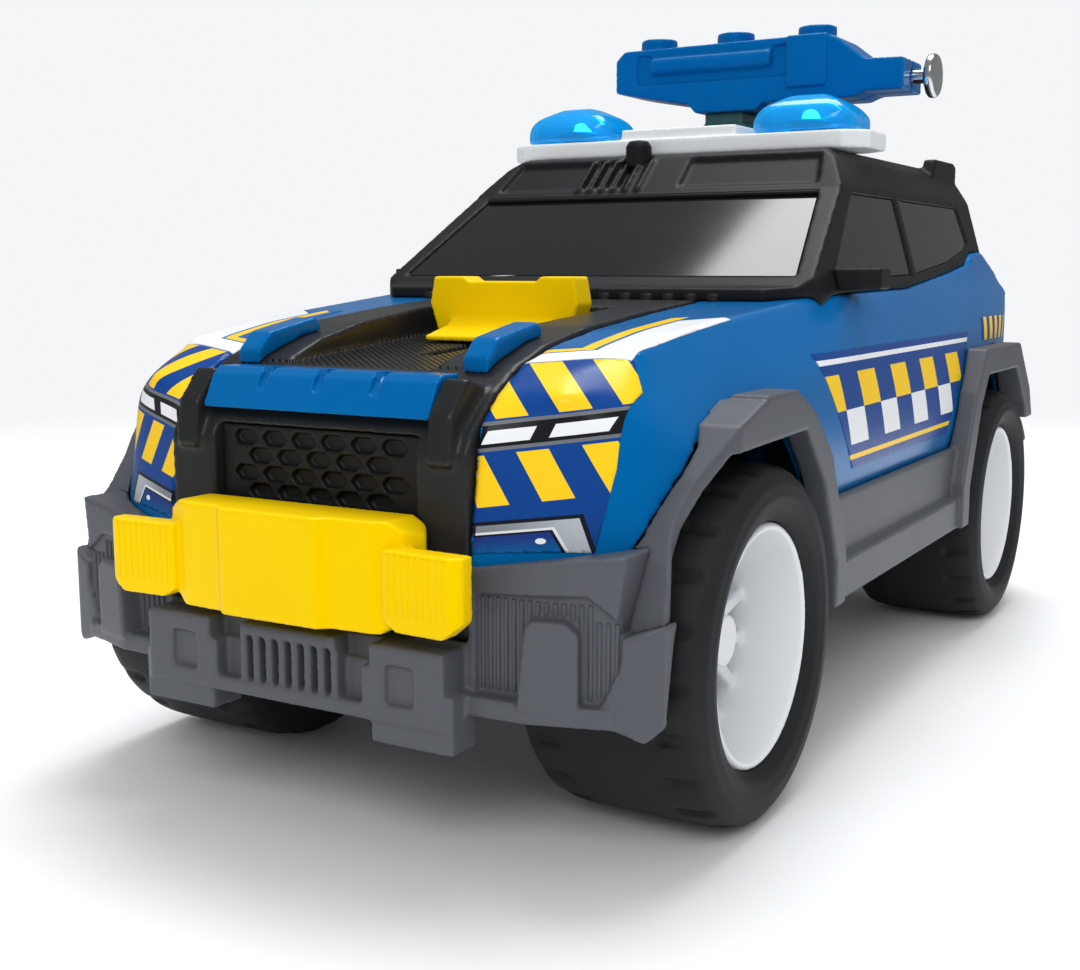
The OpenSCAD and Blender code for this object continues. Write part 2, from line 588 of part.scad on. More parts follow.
// Black cabin: pillars, header with air ribs, roof and the two tail fins
module cabin() color(black) difference() {
    union() {
        difference() {
            cabin_form(0);
            difference() {
                cabin_form(wall);
                block([-far, bonnet_end_y, 0], [far, bonnet_end_y + wall + 0.4, far]);
            }
            plan_prism(inset(mirrored([[half_w - 9, bonnet_end_y + 3], [half_w - 9, cabin_rear_y - 2]]), 0),
                0, belt_z - 4 + wall + 0.1);
            screen_hole(0);
            both_sides() side_holes(0);
            rear_hole(0);
            intersection() {
                cabin_skin(-1, 0.9);
                both_sides() cross_prism([[7, screen_z1 + 1.4], [half_w - 17.6, screen_z1 + 1.2],
                    [half_w - 19.6, roof_z - 1.6], [7, roof_z - 1.6]], screen_y1 - 6, screen_y1 + 12);
            }
        }
        for (i = [0 : 5]) translate([-17.5 + 3 * i, screen_y1 + 0.6, screen_z1 + 0.4])
            rotate([atan2(roof_z - 0.6 - screen_z1, 10), 0, 0]) block([-0.5, 0, -0.4], [0.5, 11, 0.9]);
        both_sides() side_prism([[cabin_rear_y - 26, roof_z - 4], [cabin_rear_y - 2, roof_z - 4],
            [cabin_rear_y - 1.6, roof_z + 1.2], [cabin_rear_y - 4, roof_z + 2.2],
            [cabin_rear_y - 22, roof_z + 2.2]], half_w - 19, half_w - 15.5);
    }
    body_form(-0.02);
    bar_z(button_r + clear, roof_z - 12, roof_z + 5, button_x, button_y);
    both_sides() bar_z(1.2, roof_z - 5, roof_z + 5, dome_x, bar_y0 + 10);
}

// Dark panes, set just under the cabin's surface
glass_d0 = 0.5;
module windscreen() color("#1c1e20") intersection() {
    cabin_skin(glass_d0, wall);
    screen_hole(-seam);
}
module side_windows_left() color("#1c1e20") intersection() {
    cabin_skin(glass_d0, wall);
    side_holes(-seam);
}
module side_windows_right() mirror([1, 0, 0]) side_windows_left();
module rear_window() color("#1c1e20") intersection() {
    cabin_skin(glass_d0, wall);
    rear_hole(-seam);
}

// Door mirror: a flat arm and head at the foot of the side window
mirror_y = front_axle_y + 66;
module mirror_left() color(black) difference() {
    union() {
        plan_prism([[half_w - 9, mirror_y - 6], [half_w - 2, mirror_y - 5], [half_w + 1.6, mirror_y - 3],
            [half_w + 1.6, mirror_y + 3.4], [half_w - 4, mirror_y + 4], [half_w - 9, mirror_y + 4]],
            belt_z + 0.8, belt_z + 5);
    }
    cabin_form(-0.05);
    body_form(-0.02);
}
module mirror_right() mirror([1, 0, 0]) mirror_left();

// Light bar: white base with a raised middle and the turret's socket
module light_bar() color(white) difference() {
    union() {
        plan_prism(mirrored([[bar_len / 2 - 5, bar_y0], [bar_len / 2, bar_y0 + 4], [bar_len / 2, bar_y1 - 4],
            [bar_len / 2 - 5, bar_y1]]), bar_z0, bar_z1);
        block([-14.5, bar_y0 + 1.5, bar_z1 - 0.1], [14.5, bar_y1 - 1.5, bar_z1 + 2.4]);
        block([-8, bar_y1 - 2, bar_z0], [8, turret_y, bar_z0 + 3.4]);
        bar_z(peg_d / 2 + 4, bar_z0, socket_z1, 0, turret_y);
    }
    bar_z(peg_d / 2 + run_fit, bar_z0 + 1, socket_z1 + 1, 0, turret_y);
    both_sides() bar_z(1.2, bar_z0 - 1, bar_z1 + 1, dome_x, bar_y0 + 10);
}

// Plan of a dome, shrunk by d
function dome_plan(d) = inset([[-dome_half, -6], [-dome_half + 4, -9], [dome_half - 4, -9], [dome_half, -6],
    [dome_half, 6], [dome_half - 4, 9], [-dome_half + 4, 9], [-dome_half, 6]], d);
module dome_form(d) intersection() {
    plan_prism(dome_plan(d), 0, dome_h - d);
    cross_prism(inset([[-dome_half, -5], [dome_half, -5], [dome_half, 3.4], [dome_half - 3.4, dome_h - 2.2],
        [dome_half - 8, dome_h], [-dome_half + 8, dome_h], [-dome_half + 3.4, dome_h - 2.2],
        [-dome_half, 3.4]], d), -20, 20);
    side_prism(inset([[-9, -5], [9, -5], [9, 3.4], [6.6, dome_h - 2.2], [3, dome_h], [-3, dome_h],
        [-6.6, dome_h - 2.2], [-9, 3.4]], d), -20, 20);
}

// Clear blue dome, hollow, seated on the bar
module dome_left() color("#1a93cd", 0.6) translate([dome_x, bar_y0 + 10, bar_z1]) difference() {
    dome_form(0);
    translate([0, 0, -0.01]) dome_form(1.2);
}
module dome_right() mirror([1, 0, 0]) dome_left();

// Bright dishes round the two lamps
module reflectors() color(white) both_sides() translate([dome_x, bar_y0 + 10, bar_z1])
    rotate_extrude() polygon([[2.6, 0], [4.2, 0], [6.6, 2.6], [6.2, 3], [2.6, 0.6]]);

// Two lamps on short stems through the bar and roof
module leds() color("#dff2ff") both_sides() translate([dome_x, bar_y0 + 10, 0])
    rotate_extrude() polygon([[0, board_z1], [1, board_z1], [1, bar_z1], [2.4, bar_z1], [2.4, bar_z1 + 3.4],
        [1.7, bar_z1 + 4.8], [0, bar_z1 + 5.4]]);

// Circuit board under the roof, with the push switch below the roof button
board_z1 = roof_z - 8;
module circuit_board() color("#1d5b3a") {
    block([23 - half_w, bar_y0 - 8, board_z1 - 1.6], [half_w - 23, bar_y0 + 16, board_z1]);
    block([button_x - 3, button_y - 3, board_z1], [button_x + 3, button_y + 3, board_z1 + 3.5]);
    both_sides() bar_z(2.2, board_z1, roof_z - wall, 22, bar_y0 + 2);
}

// Speaker: cone frame and magnet in the floor's ring
module speaker() color("#33363a") translate([0, speaker_y, floor_top]) {
    cylinder(d = speaker_d, h = 3.2);
    cylinder(d = speaker_d * 0.55, h = 7);
}

// Slide switch body on the floor, beside the battery box
module power_switch() color("#3a3d41") difference() {
    block([switch_x - 4, switch_y - 7, floor_top], [switch_x + 4, switch_y + 7, floor_top + 5]);
    block([switch_x - 0.9 - clear, switch_y - 1 - switch_travel / 2 - clear, floor_top - 1],
        [switch_x + 0.9 + clear, switch_y + 1 + switch_travel / 2 + clear, floor_top + 2 + clear]);
}

// Thumb piece of the power switch, below the level of the floor, and its stem in the switch
module switch_knob() color(trim_grey) {
    block([switch_x - 1.8, switch_y - 3, floor_z + 0.3], [switch_x + 1.8, switch_y + 3, floor_top - clear]);
    block([switch_x - 0.9, switch_y - 1, floor_top - clear - 0.1],
        [switch_x + 0.9, switch_y + 1, floor_top + 2]);
}

// Two cells side by side
cell_z = floor_z + 2 + cell_d / 2;
module batteries() color("#3f7f4a") both_sides() {
    bar_y(cell_d / 2, battery_y0 + 3, battery_y0 + 3 + cell_len - 1, cell_d / 2 + 0.6, cell_z);
    bar_y(1.9, battery_y0 + 2.9 + cell_len - 1, battery_y0 + 3 + cell_len, cell_d / 2 + 0.6, cell_z);
}

// Sprung contact plates at the two ends of the cells
module battery_contacts() color(steel) {
    block([-battery_half + 0.5, battery_y0, cell_z - 4], [battery_half - 0.5, battery_y0 + 0.5, cell_z + 4]);
    both_sides() {
        block([1.4, battery_y1 - 0.5, cell_z - 4], [battery_half - 1, battery_y1, cell_z + 4]);
        bar_y(2.2, battery_y0 + 0.4, battery_y0 + 2.9, cell_d / 2 + 0.6, cell_z);
        bar_y(1.6, battery_y0 + 3.1 + cell_len, battery_y1 - 0.4, cell_d / 2 + 0.6, cell_z);
    }
}

// Battery door, flush with the floor's underside, with a screwed tongue at its rear
module battery_door() color(black) difference() {
    union() {
        block([-battery_half + seam, battery_y0 + seam, floor_z],
            [battery_half - seam, battery_y1 - seam, floor_z + door_t]);
        block([-5, battery_y1 - 1, floor_z], [5, battery_y1 + 8, floor_z + door_t]);
    }
    bar_z(2.2 + seam, floor_z - 1, floor_z + 1, 0, door_screw_y);
    bar_z(1 + run_fit, floor_z - 1, floor_z + 3, 0, door_screw_y);
}

// Screw of the battery door
module battery_screw() color(steel) translate([0, door_screw_y, floor_z + 0.1]) {
    cylinder(r = 2.2, h = 0.9);
    cylinder(r = 1, h = 6);
}

// Four screws from the floor up into the body's posts
module body_screws() color(steel) both_sides() for (y = screw_ys) {
    bar_z(screw_d, floor_z + 0.2, floor_z + 1.4, screw_x, y);
    bar_z(screw_d / 2, floor_z + 0.2, floor_top + 10, screw_x, y);
}

// Steel axle
module axle(y) color(steel) bar_x(axle_d / 2, -axle_end_x, axle_end_x, y, axle_z);
module front_axle() axle(front_axle_y);
module rear_axle() axle(rear_axle_y);

// White wheel: deep dish with pockets between its spokes and a hub on the axle
module wheel(y) color(white) translate([0, y, axle_z]) rotate([0, 90, 0]) difference() {
    union() {
        rotate_extrude() polygon([[0, pocket_x - 2.5], [rim_r - 1.8, pocket_x - 2.5],
            [rim_r - 1.8, tyre_in_x + 2.5], [rim_r, tyre_in_x + 2.5], [rim_r, rim_edge_x - 0.6],
            [rim_r - 0.6, rim_edge_x], [rim_r - 1.4, rim_edge_x - 0.2], [rim_r - 2.4, rim_face_x + 1.5],
            [rim_r - 2.8, pocket_x + 1.2], [rim_r - 4, pocket_x], [0, pocket_x]]);
        translate([0, 0, rim_face_x - 14]) cylinder(r = axle_d / 2 + 2.4, h = 14 + 5.5);
        for (i = [0 : spokes - 1]) rotate([0, 0, i * 360 / spokes])
            block([axle_d / 2 + 2, -spoke_t / 2, pocket_x - 0.5], [rim_r - 1.9, spoke_t / 2, rim_face_x + 1]);
    }
    translate([0, 0, -1]) cylinder(r = axle_d / 2 + run_fit, h = axle_end_x + 1);
}
module wheel_front_left() wheel(front_axle_y);
module wheel_front_right() mirror([1, 0, 0]) wheel(front_axle_y);
module wheel_rear_left() wheel(rear_axle_y);
module wheel_rear_right() mirror([1, 0, 0]) wheel(rear_axle_y);

// Black tyre with round shoulders and block notches across them
tread_blocks = 22;
notch_depth = 1.1;
module tyre(y) color("#26282a") translate([0, y, axle_z]) rotate([0, 90, 0]) difference() {
    translate([0, 0, tyre_in_x]) rotate_extrude() polygon([
        [rim_r + run_fit, 2.6], [rim_r + 1.6, 0.9], [rim_r + 4, 0], [tyre_r - 3, 0.3], [tyre_r - 0.9, 1.8],
        [tyre_r - 0.2, 4], [tyre_r, 7], [tyre_r, tyre_w - 7], [tyre_r - 0.2, tyre_w - 4],
        [tyre_r - 0.9, tyre_w - 1.8], [tyre_r - 3, tyre_w - 0.3], [rim_r + 4, tyre_w],
        [rim_r + 1.6, tyre_w - 0.9], [rim_r + run_fit, tyre_w - 2.6]]);
    for (i = [0 : tread_blocks - 1], end = [0, 1])
        rotate([0, 0, (i + end / 2) * 360 / tread_blocks])
            block([tyre_r - notch_depth, -1.1, tyre_in_x - 1 + end * (tyre_w - 7)],
                [tyre_r + 5, 1.1, tyre_in_x + 8 + end * (tyre_w - 7)]);
}
module tyre_front_left() tyre(front_axle_y);
module tyre_front_right() mirror([1, 0, 0]) tyre(front_axle_y);
module tyre_rear_left() tyre(rear_axle_y);
module tyre_rear_right() mirror([1, 0, 0]) tyre(rear_axle_y);

// Yellow ram: stepped middle block with swept ends and a paddle each side
ram_back_y = nose_y - clear;
ram_z1 = ram_z0 + ram_h;
paddle_x0 = ram_w / 2 - 4;
crease_x = 0.19 * ram_w;
module ram_bumper() color(yellow) {
    intersection() {
        plan_prism(mirrored([[ram_w / 2 - 2, ram_back_y], [ram_w / 2, ram_back_y - 3],
            [ram_w / 2 - 1.5, ram_front_y + 4], [ram_w / 2 - 6, ram_front_y + 2],
            [crease_x + 1.6, ram_front_y + 1.5], [crease_x, ram_front_y], [0, ram_front_y]]), 0, far);
        cross_prism(mirrored([[ram_w / 2 - 5, ram_z0], [ram_w / 2, ram_z0 + 4], [ram_w / 2, ram_z1 - 2.5],
            [ram_w / 2 - 4, ram_z1]]), -far, far);
    }
    both_sides() intersection() {
        plan_prism([[paddle_x0, ram_front_y + 1.5], [paddle_x0 + 12.5, ram_front_y + 0.8],
            [paddle_x0 + 14, ram_front_y + 2], [paddle_x0 + 14, ram_front_y + 4.8],
            [paddle_x0, ram_front_y + 5.4]], 0, far);
        cross_prism([[paddle_x0, ram_z0 + 2.5], [paddle_x0 + 2.5, ram_z0 + 1], [paddle_x0 + 11, ram_z0 + 1],
            [paddle_x0 + 14, ram_z0 + 3.5], [paddle_x0 + 14, ram_z1 - 3.8], [paddle_x0, ram_z1 - 3.8]],
            -far, far);
    }
}

// Guide rods, crosshead and post that join the ram to the lever
module ram_slide() color(black) {
    both_sides() bar_y(rod_d / 2, ram_back_y, crosshead_y0 + 1, rod_pitch / 2, rod_z);
    block([-rod_pitch / 2 - 4, crosshead_y0, rod_z - rod_d / 2],
        [rod_pitch / 2 + 4, crosshead_y1, rod_z + rod_d / 2]);
    side_prism([[post_y - post_half, rod_z], [post_y + post_half, rod_z],
        [post_y + post_half, lever_foot_z(post_y + post_half)],
        [post_y - post_half, lever_foot_z(post_y - post_half)]], -post_t / 2, post_t / 2);
}

// Yellow lever standing in the bonnet channel, with a short foot ahead of it along the channel's floor
function lever_foot_z(y) = channel_z(y) + clear;
lever_z0 = lever_foot_z(lever_y + lever_t / 2);
lever_z1 = belt_z + 3.5;
foot_y = lever_y - lever_t / 2 - 9;
module bonnet_lever() color(yellow) {
    cross_prism(mirrored([[lever_w / 2 - 2, lever_z0], [lever_w / 2, lever_z0 + 6], [lever_w / 2 - 1, lever_z1],
        [8.5, lever_z1], [7.5, lever_z1 - 0.9]]), lever_y - lever_t / 2, lever_y + lever_t / 2);
    side_prism([[foot_y, lever_foot_z(foot_y)], [lever_y, lever_foot_z(lever_y)], [lever_y, lever_z0 + 5],
        [lever_y - lever_t / 2 - 2, lever_z0 + 1.8], [foot_y, lever_foot_z(foot_y) + 1]],
        -lever_w / 2 + 5, lever_w / 2 - 5);
}

// Turret: peg in the light bar's socket, collar and cradle under the squirter
module turret_base() color("#1d3a36") {
    bar_z(peg_d / 2, bar_z0 + 1.2, socket_z1 + 0.4, 0, turret_y);
    bar_z(peg_d / 2 + 3, socket_z1 + clear, socket_z1 + 2.4, 0, turret_y);
    block([-5, turret_y - 6, socket_z1 + 2.3], [5, turret_y + 6, gun_z0 - 1.6]);
}

// Side outline of the squirter, muzzle towards -X
gun_side = [
    [-24.5, gun_z0 + 3.4], [-9, gun_z0 + 0.6], [-7, gun_z0 - 1.6], [9, gun_z0 - 1.6], [11, gun_z0],
    [33, gun_z0], [36, gun_z0 + 1.2], [neck_x, gun_z0 + 1.2], [neck_x, gun_z0 + 8.4], [36, gun_z0 + 8.6],
    [29, gun_z0 + 14], [26.5, gun_z0 + 15], [-26.5, gun_z0 + 14.6], [-29, gun_z0 + 12.4], [-29, gun_z0 + 4.4]];
gun_bore_x0 = cylinder_x0 - 0.2;
nozzle_z = gun_z0 + 9;

// One moulded half of the squirter between y0 and y1
module gun_half(y0, y1) difference() {
    cross_prism(gun_side, y0, y1);
    bar_x(cylinder_d / 2 + cylinder_wall + seam, gun_bore_x0, cylinder_x1 + 0.2, turret_y, gun_axis_z);
    bar_x(plunger_rod_d / 2 + run_fit, 0, neck_x + 1, turret_y, gun_axis_z);
    bar_x(3 + seam, -far, -20, turret_y, nozzle_z);
    for (p = gun_screw_places) bar_y(1 + run_fit, gun_y0 + 3, far, p[0], p[1]);
}
gun_screw_places = [[-16, gun_z0 + 11.5], [13, gun_z0 + 12.6], [32, gun_z0 + 8.6]];

// Front half, with the three round bosses, a side bar in a shallow recess, and a collar
module gun_shell_front() color(blue) union() {
    difference() {
        gun_half(gun_y0, turret_y);
        block([-23, gun_y0 - 1, gun_z0 + 6], [17, gun_y0 + 1.2, gun_z0 + 13.2]);
    }
    for (x = [-20.5, 0.5, 21.6])
        difference() {
            bar_z(4.6, gun_z0 + 13, gun_z0 + 17.8, x, turret_y);
            block([-far, turret_y, 0], [far, far, gun_z0 + 15.05]);
        }
    bar_x(2.2, -19, 13, gun_y0 + 0.8, gun_z0 + 10.4);
    block([17, gun_y0 - 1.2, gun_z0 + 3], [27, gun_y0 + 0.1, gun_z0 + 15]);
}
module gun_shell_rear() color(blue) gun_half(turret_y, gun_y1);

// Water cylinder held between the two halves
module gun_cylinder() color("#d9dde0") difference() {
    bar_x(cylinder_d / 2 + cylinder_wall, cylinder_x0, cylinder_x1, turret_y, gun_axis_z);
    bar_x(cylinder_d / 2, cylinder_x0 + 1.5, cylinder_x1 + 1, turret_y, gun_axis_z);
}

// Nozzle at the muzzle
module gun_nozzle() color(black) difference() {
    bar_x(3, -31, -20, turret_y, nozzle_z);
    bar_x(0.9, -32, -22, turret_y, nozzle_z);
}

// Screws that close the two halves
module gun_screws() color(steel) for (p = gun_screw_places) {
    bar_y(1, turret_y - 3, gun_y1 + 0.1, p[0], p[1]);
    bar_y(2, gun_y1, gun_y1 + 1, p[0], p[1]);
}

// Plunger rod, its rubber seal in the cylinder and the bright knob
piston_x0 = cylinder_x0 + 1.5 + clear;
module plunger_rod() color(steel)
    bar_x(plunger_rod_d / 2, piston_x0, knob_x, turret_y, gun_axis_z);
module piston_seal() color("#26282a") difference() {
    bar_x(cylinder_d / 2 - run_fit, piston_x0, piston_x0 + 4, turret_y, gun_axis_z);
    bar_x(plunger_rod_d / 2, piston_x0 - 1, piston_x0 + 5, turret_y, gun_axis_z);
}
module plunger_knob() color(steel) translate([knob_x, turret_y, gun_axis_z]) rotate([0, 90, 0])
    rotate_extrude() polygon([[0, 0], [2.6, 0], [3, 0.6], [knob_d / 2 - 0.4, 0.8], [knob_d / 2, 1.3],
        [knob_d / 2, 2.4], [knob_d / 2 - 0.5, 3], [0, 3.2]]);

// Round button in the header that works the push switch
button_z0 = board_z1 + 3.5 + button_travel + 0.1;
module roof_button() color(black) translate([button_x, button_y, 0])
    rotate_extrude() polygon([[0, button_z0], [button_r, button_z0], [button_r, roof_z + 1.8],
        [button_r - 0.8, roof_z + 3], [0, roof_z + 3.4]]);

floor_pan();
body_shell();
front_bumper();
rear_bumper();
cladding_left();
cladding_right();
bonnet_frame();
grille();
nose_bar();
bonnet_rail_left();
bonnet_rail_right();
cabin();
windscreen();
side_windows_left();
side_windows_right();
rear_window();
mirror_left();
mirror_right();
light_bar();
dome_left();
dome_right();
reflectors();
leds();
circuit_board();
speaker();
power_switch();
batteries();
battery_contacts();
battery_door();
battery_screw();
body_screws();
front_axle();
wheel_front_left();
wheel_front_right();
tyre_front_left();
tyre_front_right();
rear_axle();
wheel_rear_left();
wheel_rear_right();
tyre_rear_left();
tyre_rear_right();
ram_bumper();
ram_slide();
bonnet_lever();
turret_base();
gun_shell_front();
gun_shell_rear();
gun_cylinder();
gun_nozzle();
gun_screws();
plunger_rod();
plunger_knob();
piston_seal();
roof_button();
switch_knob();
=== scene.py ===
import math

import bmesh
import bpy
import numpy as np
from mathutils import Euler, Matrix, Vector
from mathutils.bvhtree import BVHTree
from mathutils.kdtree import KDTree


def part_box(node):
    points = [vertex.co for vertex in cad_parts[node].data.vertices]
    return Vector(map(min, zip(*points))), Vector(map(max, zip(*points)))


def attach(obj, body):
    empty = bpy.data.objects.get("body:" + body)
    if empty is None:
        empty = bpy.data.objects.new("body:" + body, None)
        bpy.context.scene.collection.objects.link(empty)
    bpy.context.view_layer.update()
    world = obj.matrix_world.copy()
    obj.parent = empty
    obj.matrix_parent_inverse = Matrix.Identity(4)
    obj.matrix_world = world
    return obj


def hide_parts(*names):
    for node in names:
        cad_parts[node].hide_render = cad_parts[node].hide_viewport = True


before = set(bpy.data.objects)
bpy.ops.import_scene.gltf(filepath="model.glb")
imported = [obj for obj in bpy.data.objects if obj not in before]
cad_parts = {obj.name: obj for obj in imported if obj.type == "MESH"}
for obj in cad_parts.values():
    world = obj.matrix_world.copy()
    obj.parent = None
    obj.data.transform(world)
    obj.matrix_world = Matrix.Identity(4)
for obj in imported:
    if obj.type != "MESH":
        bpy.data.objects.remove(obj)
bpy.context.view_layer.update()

# Studio: a pale floor that fades into an even backdrop, a softbox above and behind the roof, which also
# lies in the windscreen as a pale reflection, a second one in front, and the camera at the
# photograph's place.
scene = bpy.context.scene
scene.view_settings.view_transform = "Standard"

camera_tilt = 81.31
camera_turn = 30.38
camera = bpy.data.objects.new("camera", bpy.data.cameras.new("camera"))
camera.location = (0.1414, -0.2888, 0.0906)
camera.rotation_euler = (math.radians(camera_tilt), 0, math.radians(camera_turn))
camera.data.lens = 46.8
camera.data.sensor_width = 36
scene.collection.objects.link(camera)
scene.camera = camera


class Wire:
    """A node's output: sums on it add Math nodes, and node() adds a node of any other kind."""

    def __init__(self, tree, socket):
        self.tree = tree
        self.socket = socket

    def node(self, kind, settings=None, inputs=None, out=0):
        made = self.tree.nodes.new(kind)
        for name, value in (settings or {}).items():
            setattr(made, name, value)
        for name, value in (inputs or {}).items():
            socket = made.inputs[name]
            if isinstance(value, Wire):
                self.tree.links.new(value.socket, socket)
            elif socket.type == "RGBA":
                socket.default_value = (*value, 1)
            else:
                socket.default_value = value
        return Wire(self.tree, made.outputs[out])

    def maths(self, operation, *terms):
        return self.node("ShaderNodeMath", {"operation": operation}, dict(enumerate(terms)))

    def __add__(self, other):
        return self.maths("ADD", self, other)

    def __sub__(self, other):
        return self.maths("SUBTRACT", self, other)

    def __rsub__(self, other):
        return self.maths("SUBTRACT", other, self)

    def __mul__(self, other):
        return self.maths("MULTIPLY", self, other)

    def __truediv__(self, other):
        return self.maths("DIVIDE", self, other)

    def __gt__(self, other):
        return self.maths("GREATER_THAN", self, other)

    def __lt__(self, other):
        return self.maths("LESS_THAN", self, other)

    __radd__ = __add__
    __rmul__ = __mul__

    def between(self, low, high):
        return (self > low) * (self < high)

    def ramp(self, low, high):
        return self.node("ShaderNodeMapRange", {"interpolation_type": "SMOOTHSTEP"},
                         {"Value": self, "From Min": low, "From Max": high})

    def mix(self, low, high):
        return self.node("ShaderNodeMix", {"data_type": "RGBA"}, {0: self, 6: low, 7: high}, 2)

    def noise(self, scale, detail=3):
        return self.node("ShaderNodeTexNoise", None, {"Vector": self, "Scale": scale, "Detail": detail})

    def bump(self, depth):
        return self.node("ShaderNodeBump", None, {"Height": self, "Distance": depth})

    def axes(self):
        """The three parts of a place on a piece, in millimetres."""
        return [1000 * self.node("ShaderNodeSeparateXYZ", None, {0: self}, axis) for axis in range(3)]


def softbox(name, place, aim, width, depth, watts, turn=0):
    lamp = bpy.data.lights.new(name, "AREA")
    lamp.shape = "RECTANGLE"
    lamp.size = width
    lamp.size_y = depth
    lamp.energy = watts
    holder = bpy.data.objects.new(name, lamp)
    holder.location = place
    holder.rotation_euler = (Vector(aim) - Vector(place)).to_track_quat("-Z", "Y").to_euler()
    holder.rotation_euler.rotate_axis("Z", turn)
    scene.collection.objects.link(holder)


softbox("roof_softbox", place=(-0.09, 0.33, 1.18), aim=(-0.09, -0.17, 0.13), width=0.74, depth=0.70,
        watts=10.8, turn=-0.72)
softbox("front_softbox", place=(0.48, -1.18, 1.00), aim=(0, 0, 0.05), width=0.9, depth=0.6, watts=7.4)

fill_level = 0.62
seen_extra = 0.31
mirrored_less = 0.38
world = bpy.data.worlds.new("studio")
world.use_nodes = True
scene.world = world
rays = world.node_tree.nodes.new("ShaderNodeLightPath")
seen, mirrored, through = [Wire(world.node_tree, rays.outputs[f"Is {kind} Ray"])
                           for kind in ("Camera", "Glossy", "Transmission")]
backdrop = world.node_tree.nodes["Background"]
backdrop.inputs["Color"].default_value = (0.97, 0.985, 1, 1)
level = fill_level + seen_extra * seen.maths("MAXIMUM", seen, through) - mirrored_less * mirrored
world.node_tree.links.new(level.socket, backdrop.inputs["Strength"])

floor_half = 1.5
fade_from = 0.28
fade_to = 0.75
floor_sheet = bmesh.new()
bmesh.ops.create_grid(floor_sheet, x_segments=8, y_segments=8, size=floor_half)
floor = bpy.data.objects.new("studio_floor", bpy.data.meshes.new("studio_floor"))
floor_sheet.to_mesh(floor.data)
floor_sheet.free()
scene.collection.objects.link(floor)
pale = bpy.data.materials.new("pale_floor")
pale.use_nodes = True
paper = pale.node_tree.nodes["Principled BSDF"]
paper.inputs["Base Color"].default_value = (0.90, 0.91, 0.92, 1)
paper.inputs["Roughness"].default_value = 0.9
spot = Wire(pale.node_tree, pale.node_tree.nodes.new("ShaderNodeTexCoord").outputs["Object"])
away = spot.node("ShaderNodeVectorMath", {"operation": "LENGTH"}, {0: spot}, "Value")
far = away.ramp(fade_from, fade_to)
clear = pale.node_tree.nodes.new("ShaderNodeBsdfTransparent")
near, beyond = [Wire(pale.node_tree, shader.outputs[0]) for shader in (paper, clear)]
fade = far.node("ShaderNodeMixShader", None, {0: far, 1: near, 2: beyond})
pale.node_tree.links.new(fade.socket, pale.node_tree.nodes["Material Output"].inputs["Surface"])
floor.data.materials.append(pale)

# Floor pan: the black tray under the car, moulded with the axle bearings, the battery box and the
# wheel liners. Its edges are rounded by the mould, and its faces have a fine satin grain.


def paint(name, look):
    """A material whose shader sockets come from look(place), the place being a point of the piece."""
    material = bpy.data.materials.new(name)
    material.use_nodes = True
    tree = material.node_tree
    shader = tree.nodes["Principled BSDF"]
    for label, value in look(Wire(tree, tree.nodes.new("ShaderNodeTexCoord").outputs["Object"])).items():
        socket = shader.inputs[label]
        if isinstance(value, Wire):
            tree.links.new(value.socket, socket)
        elif socket.type == "RGBA":
            socket.default_value = (*value, 1)
        else:
            socket.default_value = value
    return material


def plastic(name, colour, rough, shine=0.4, grain=0.006, relief=None, tint=(1, 1, 1)):
    """Moulded plastic: flow clouds in the colour, edges painted paler as a painted highlight, an uneven gloss
    and a mould grain.
    """

    def look(place):
        cloud = place.noise(scale=34, detail=4)
        speck = place.noise(scale=1900, detail=2)
        # edge: how far the smoothing rounded each point, used below to paint the edges paler as a painted
        # highlight.
        edge = place.node("ShaderNodeAttribute", {"attribute_name": "pale_edge_highlight"}, out="Fac").ramp(0.2, 0.9)
        body = cloud.mix([0.90 * c for c in colour], [min(1.0, 1.06 * c + 0.001) for c in colour])
        height = grain * speck
        if relief:
            height = height + relief(place)
        return {
            "Base Color": (0.5 * edge).mix(body, [min(1.0, 1.3 * c + 0.012) for c in colour]),
            "Roughness": rough + 0.14 * (cloud - 0.5) - 0.05 * edge,
            "Specular IOR Level": shine,
            "Specular Tint": tint,
            "Normal": height.bump(depth=0.001),
        }

    return paint(name, look)


def settled(piece):
    """Makes what a piece's modifiers give its plain mesh."""
    graph = bpy.context.evaluated_depsgraph_get()
    mesh = bpy.data.meshes.new_from_object(piece.evaluated_get(graph))
    piece.modifiers.clear()
    rough_mesh = piece.data
    piece.data = mesh
    bpy.data.meshes.remove(rough_mesh)
    return mesh


def trim(mesh, least):
    """Joins points nearer than least and takes out faces without area."""
    tidy = bmesh.new()
    tidy.from_mesh(mesh)
    bmesh.ops.remove_doubles(tidy, verts=tidy.verts, dist=least)
    bmesh.ops.dissolve_degenerate(tidy, dist=least, edges=tidy.edges)
    tidy.to_mesh(mesh)
    tidy.free()


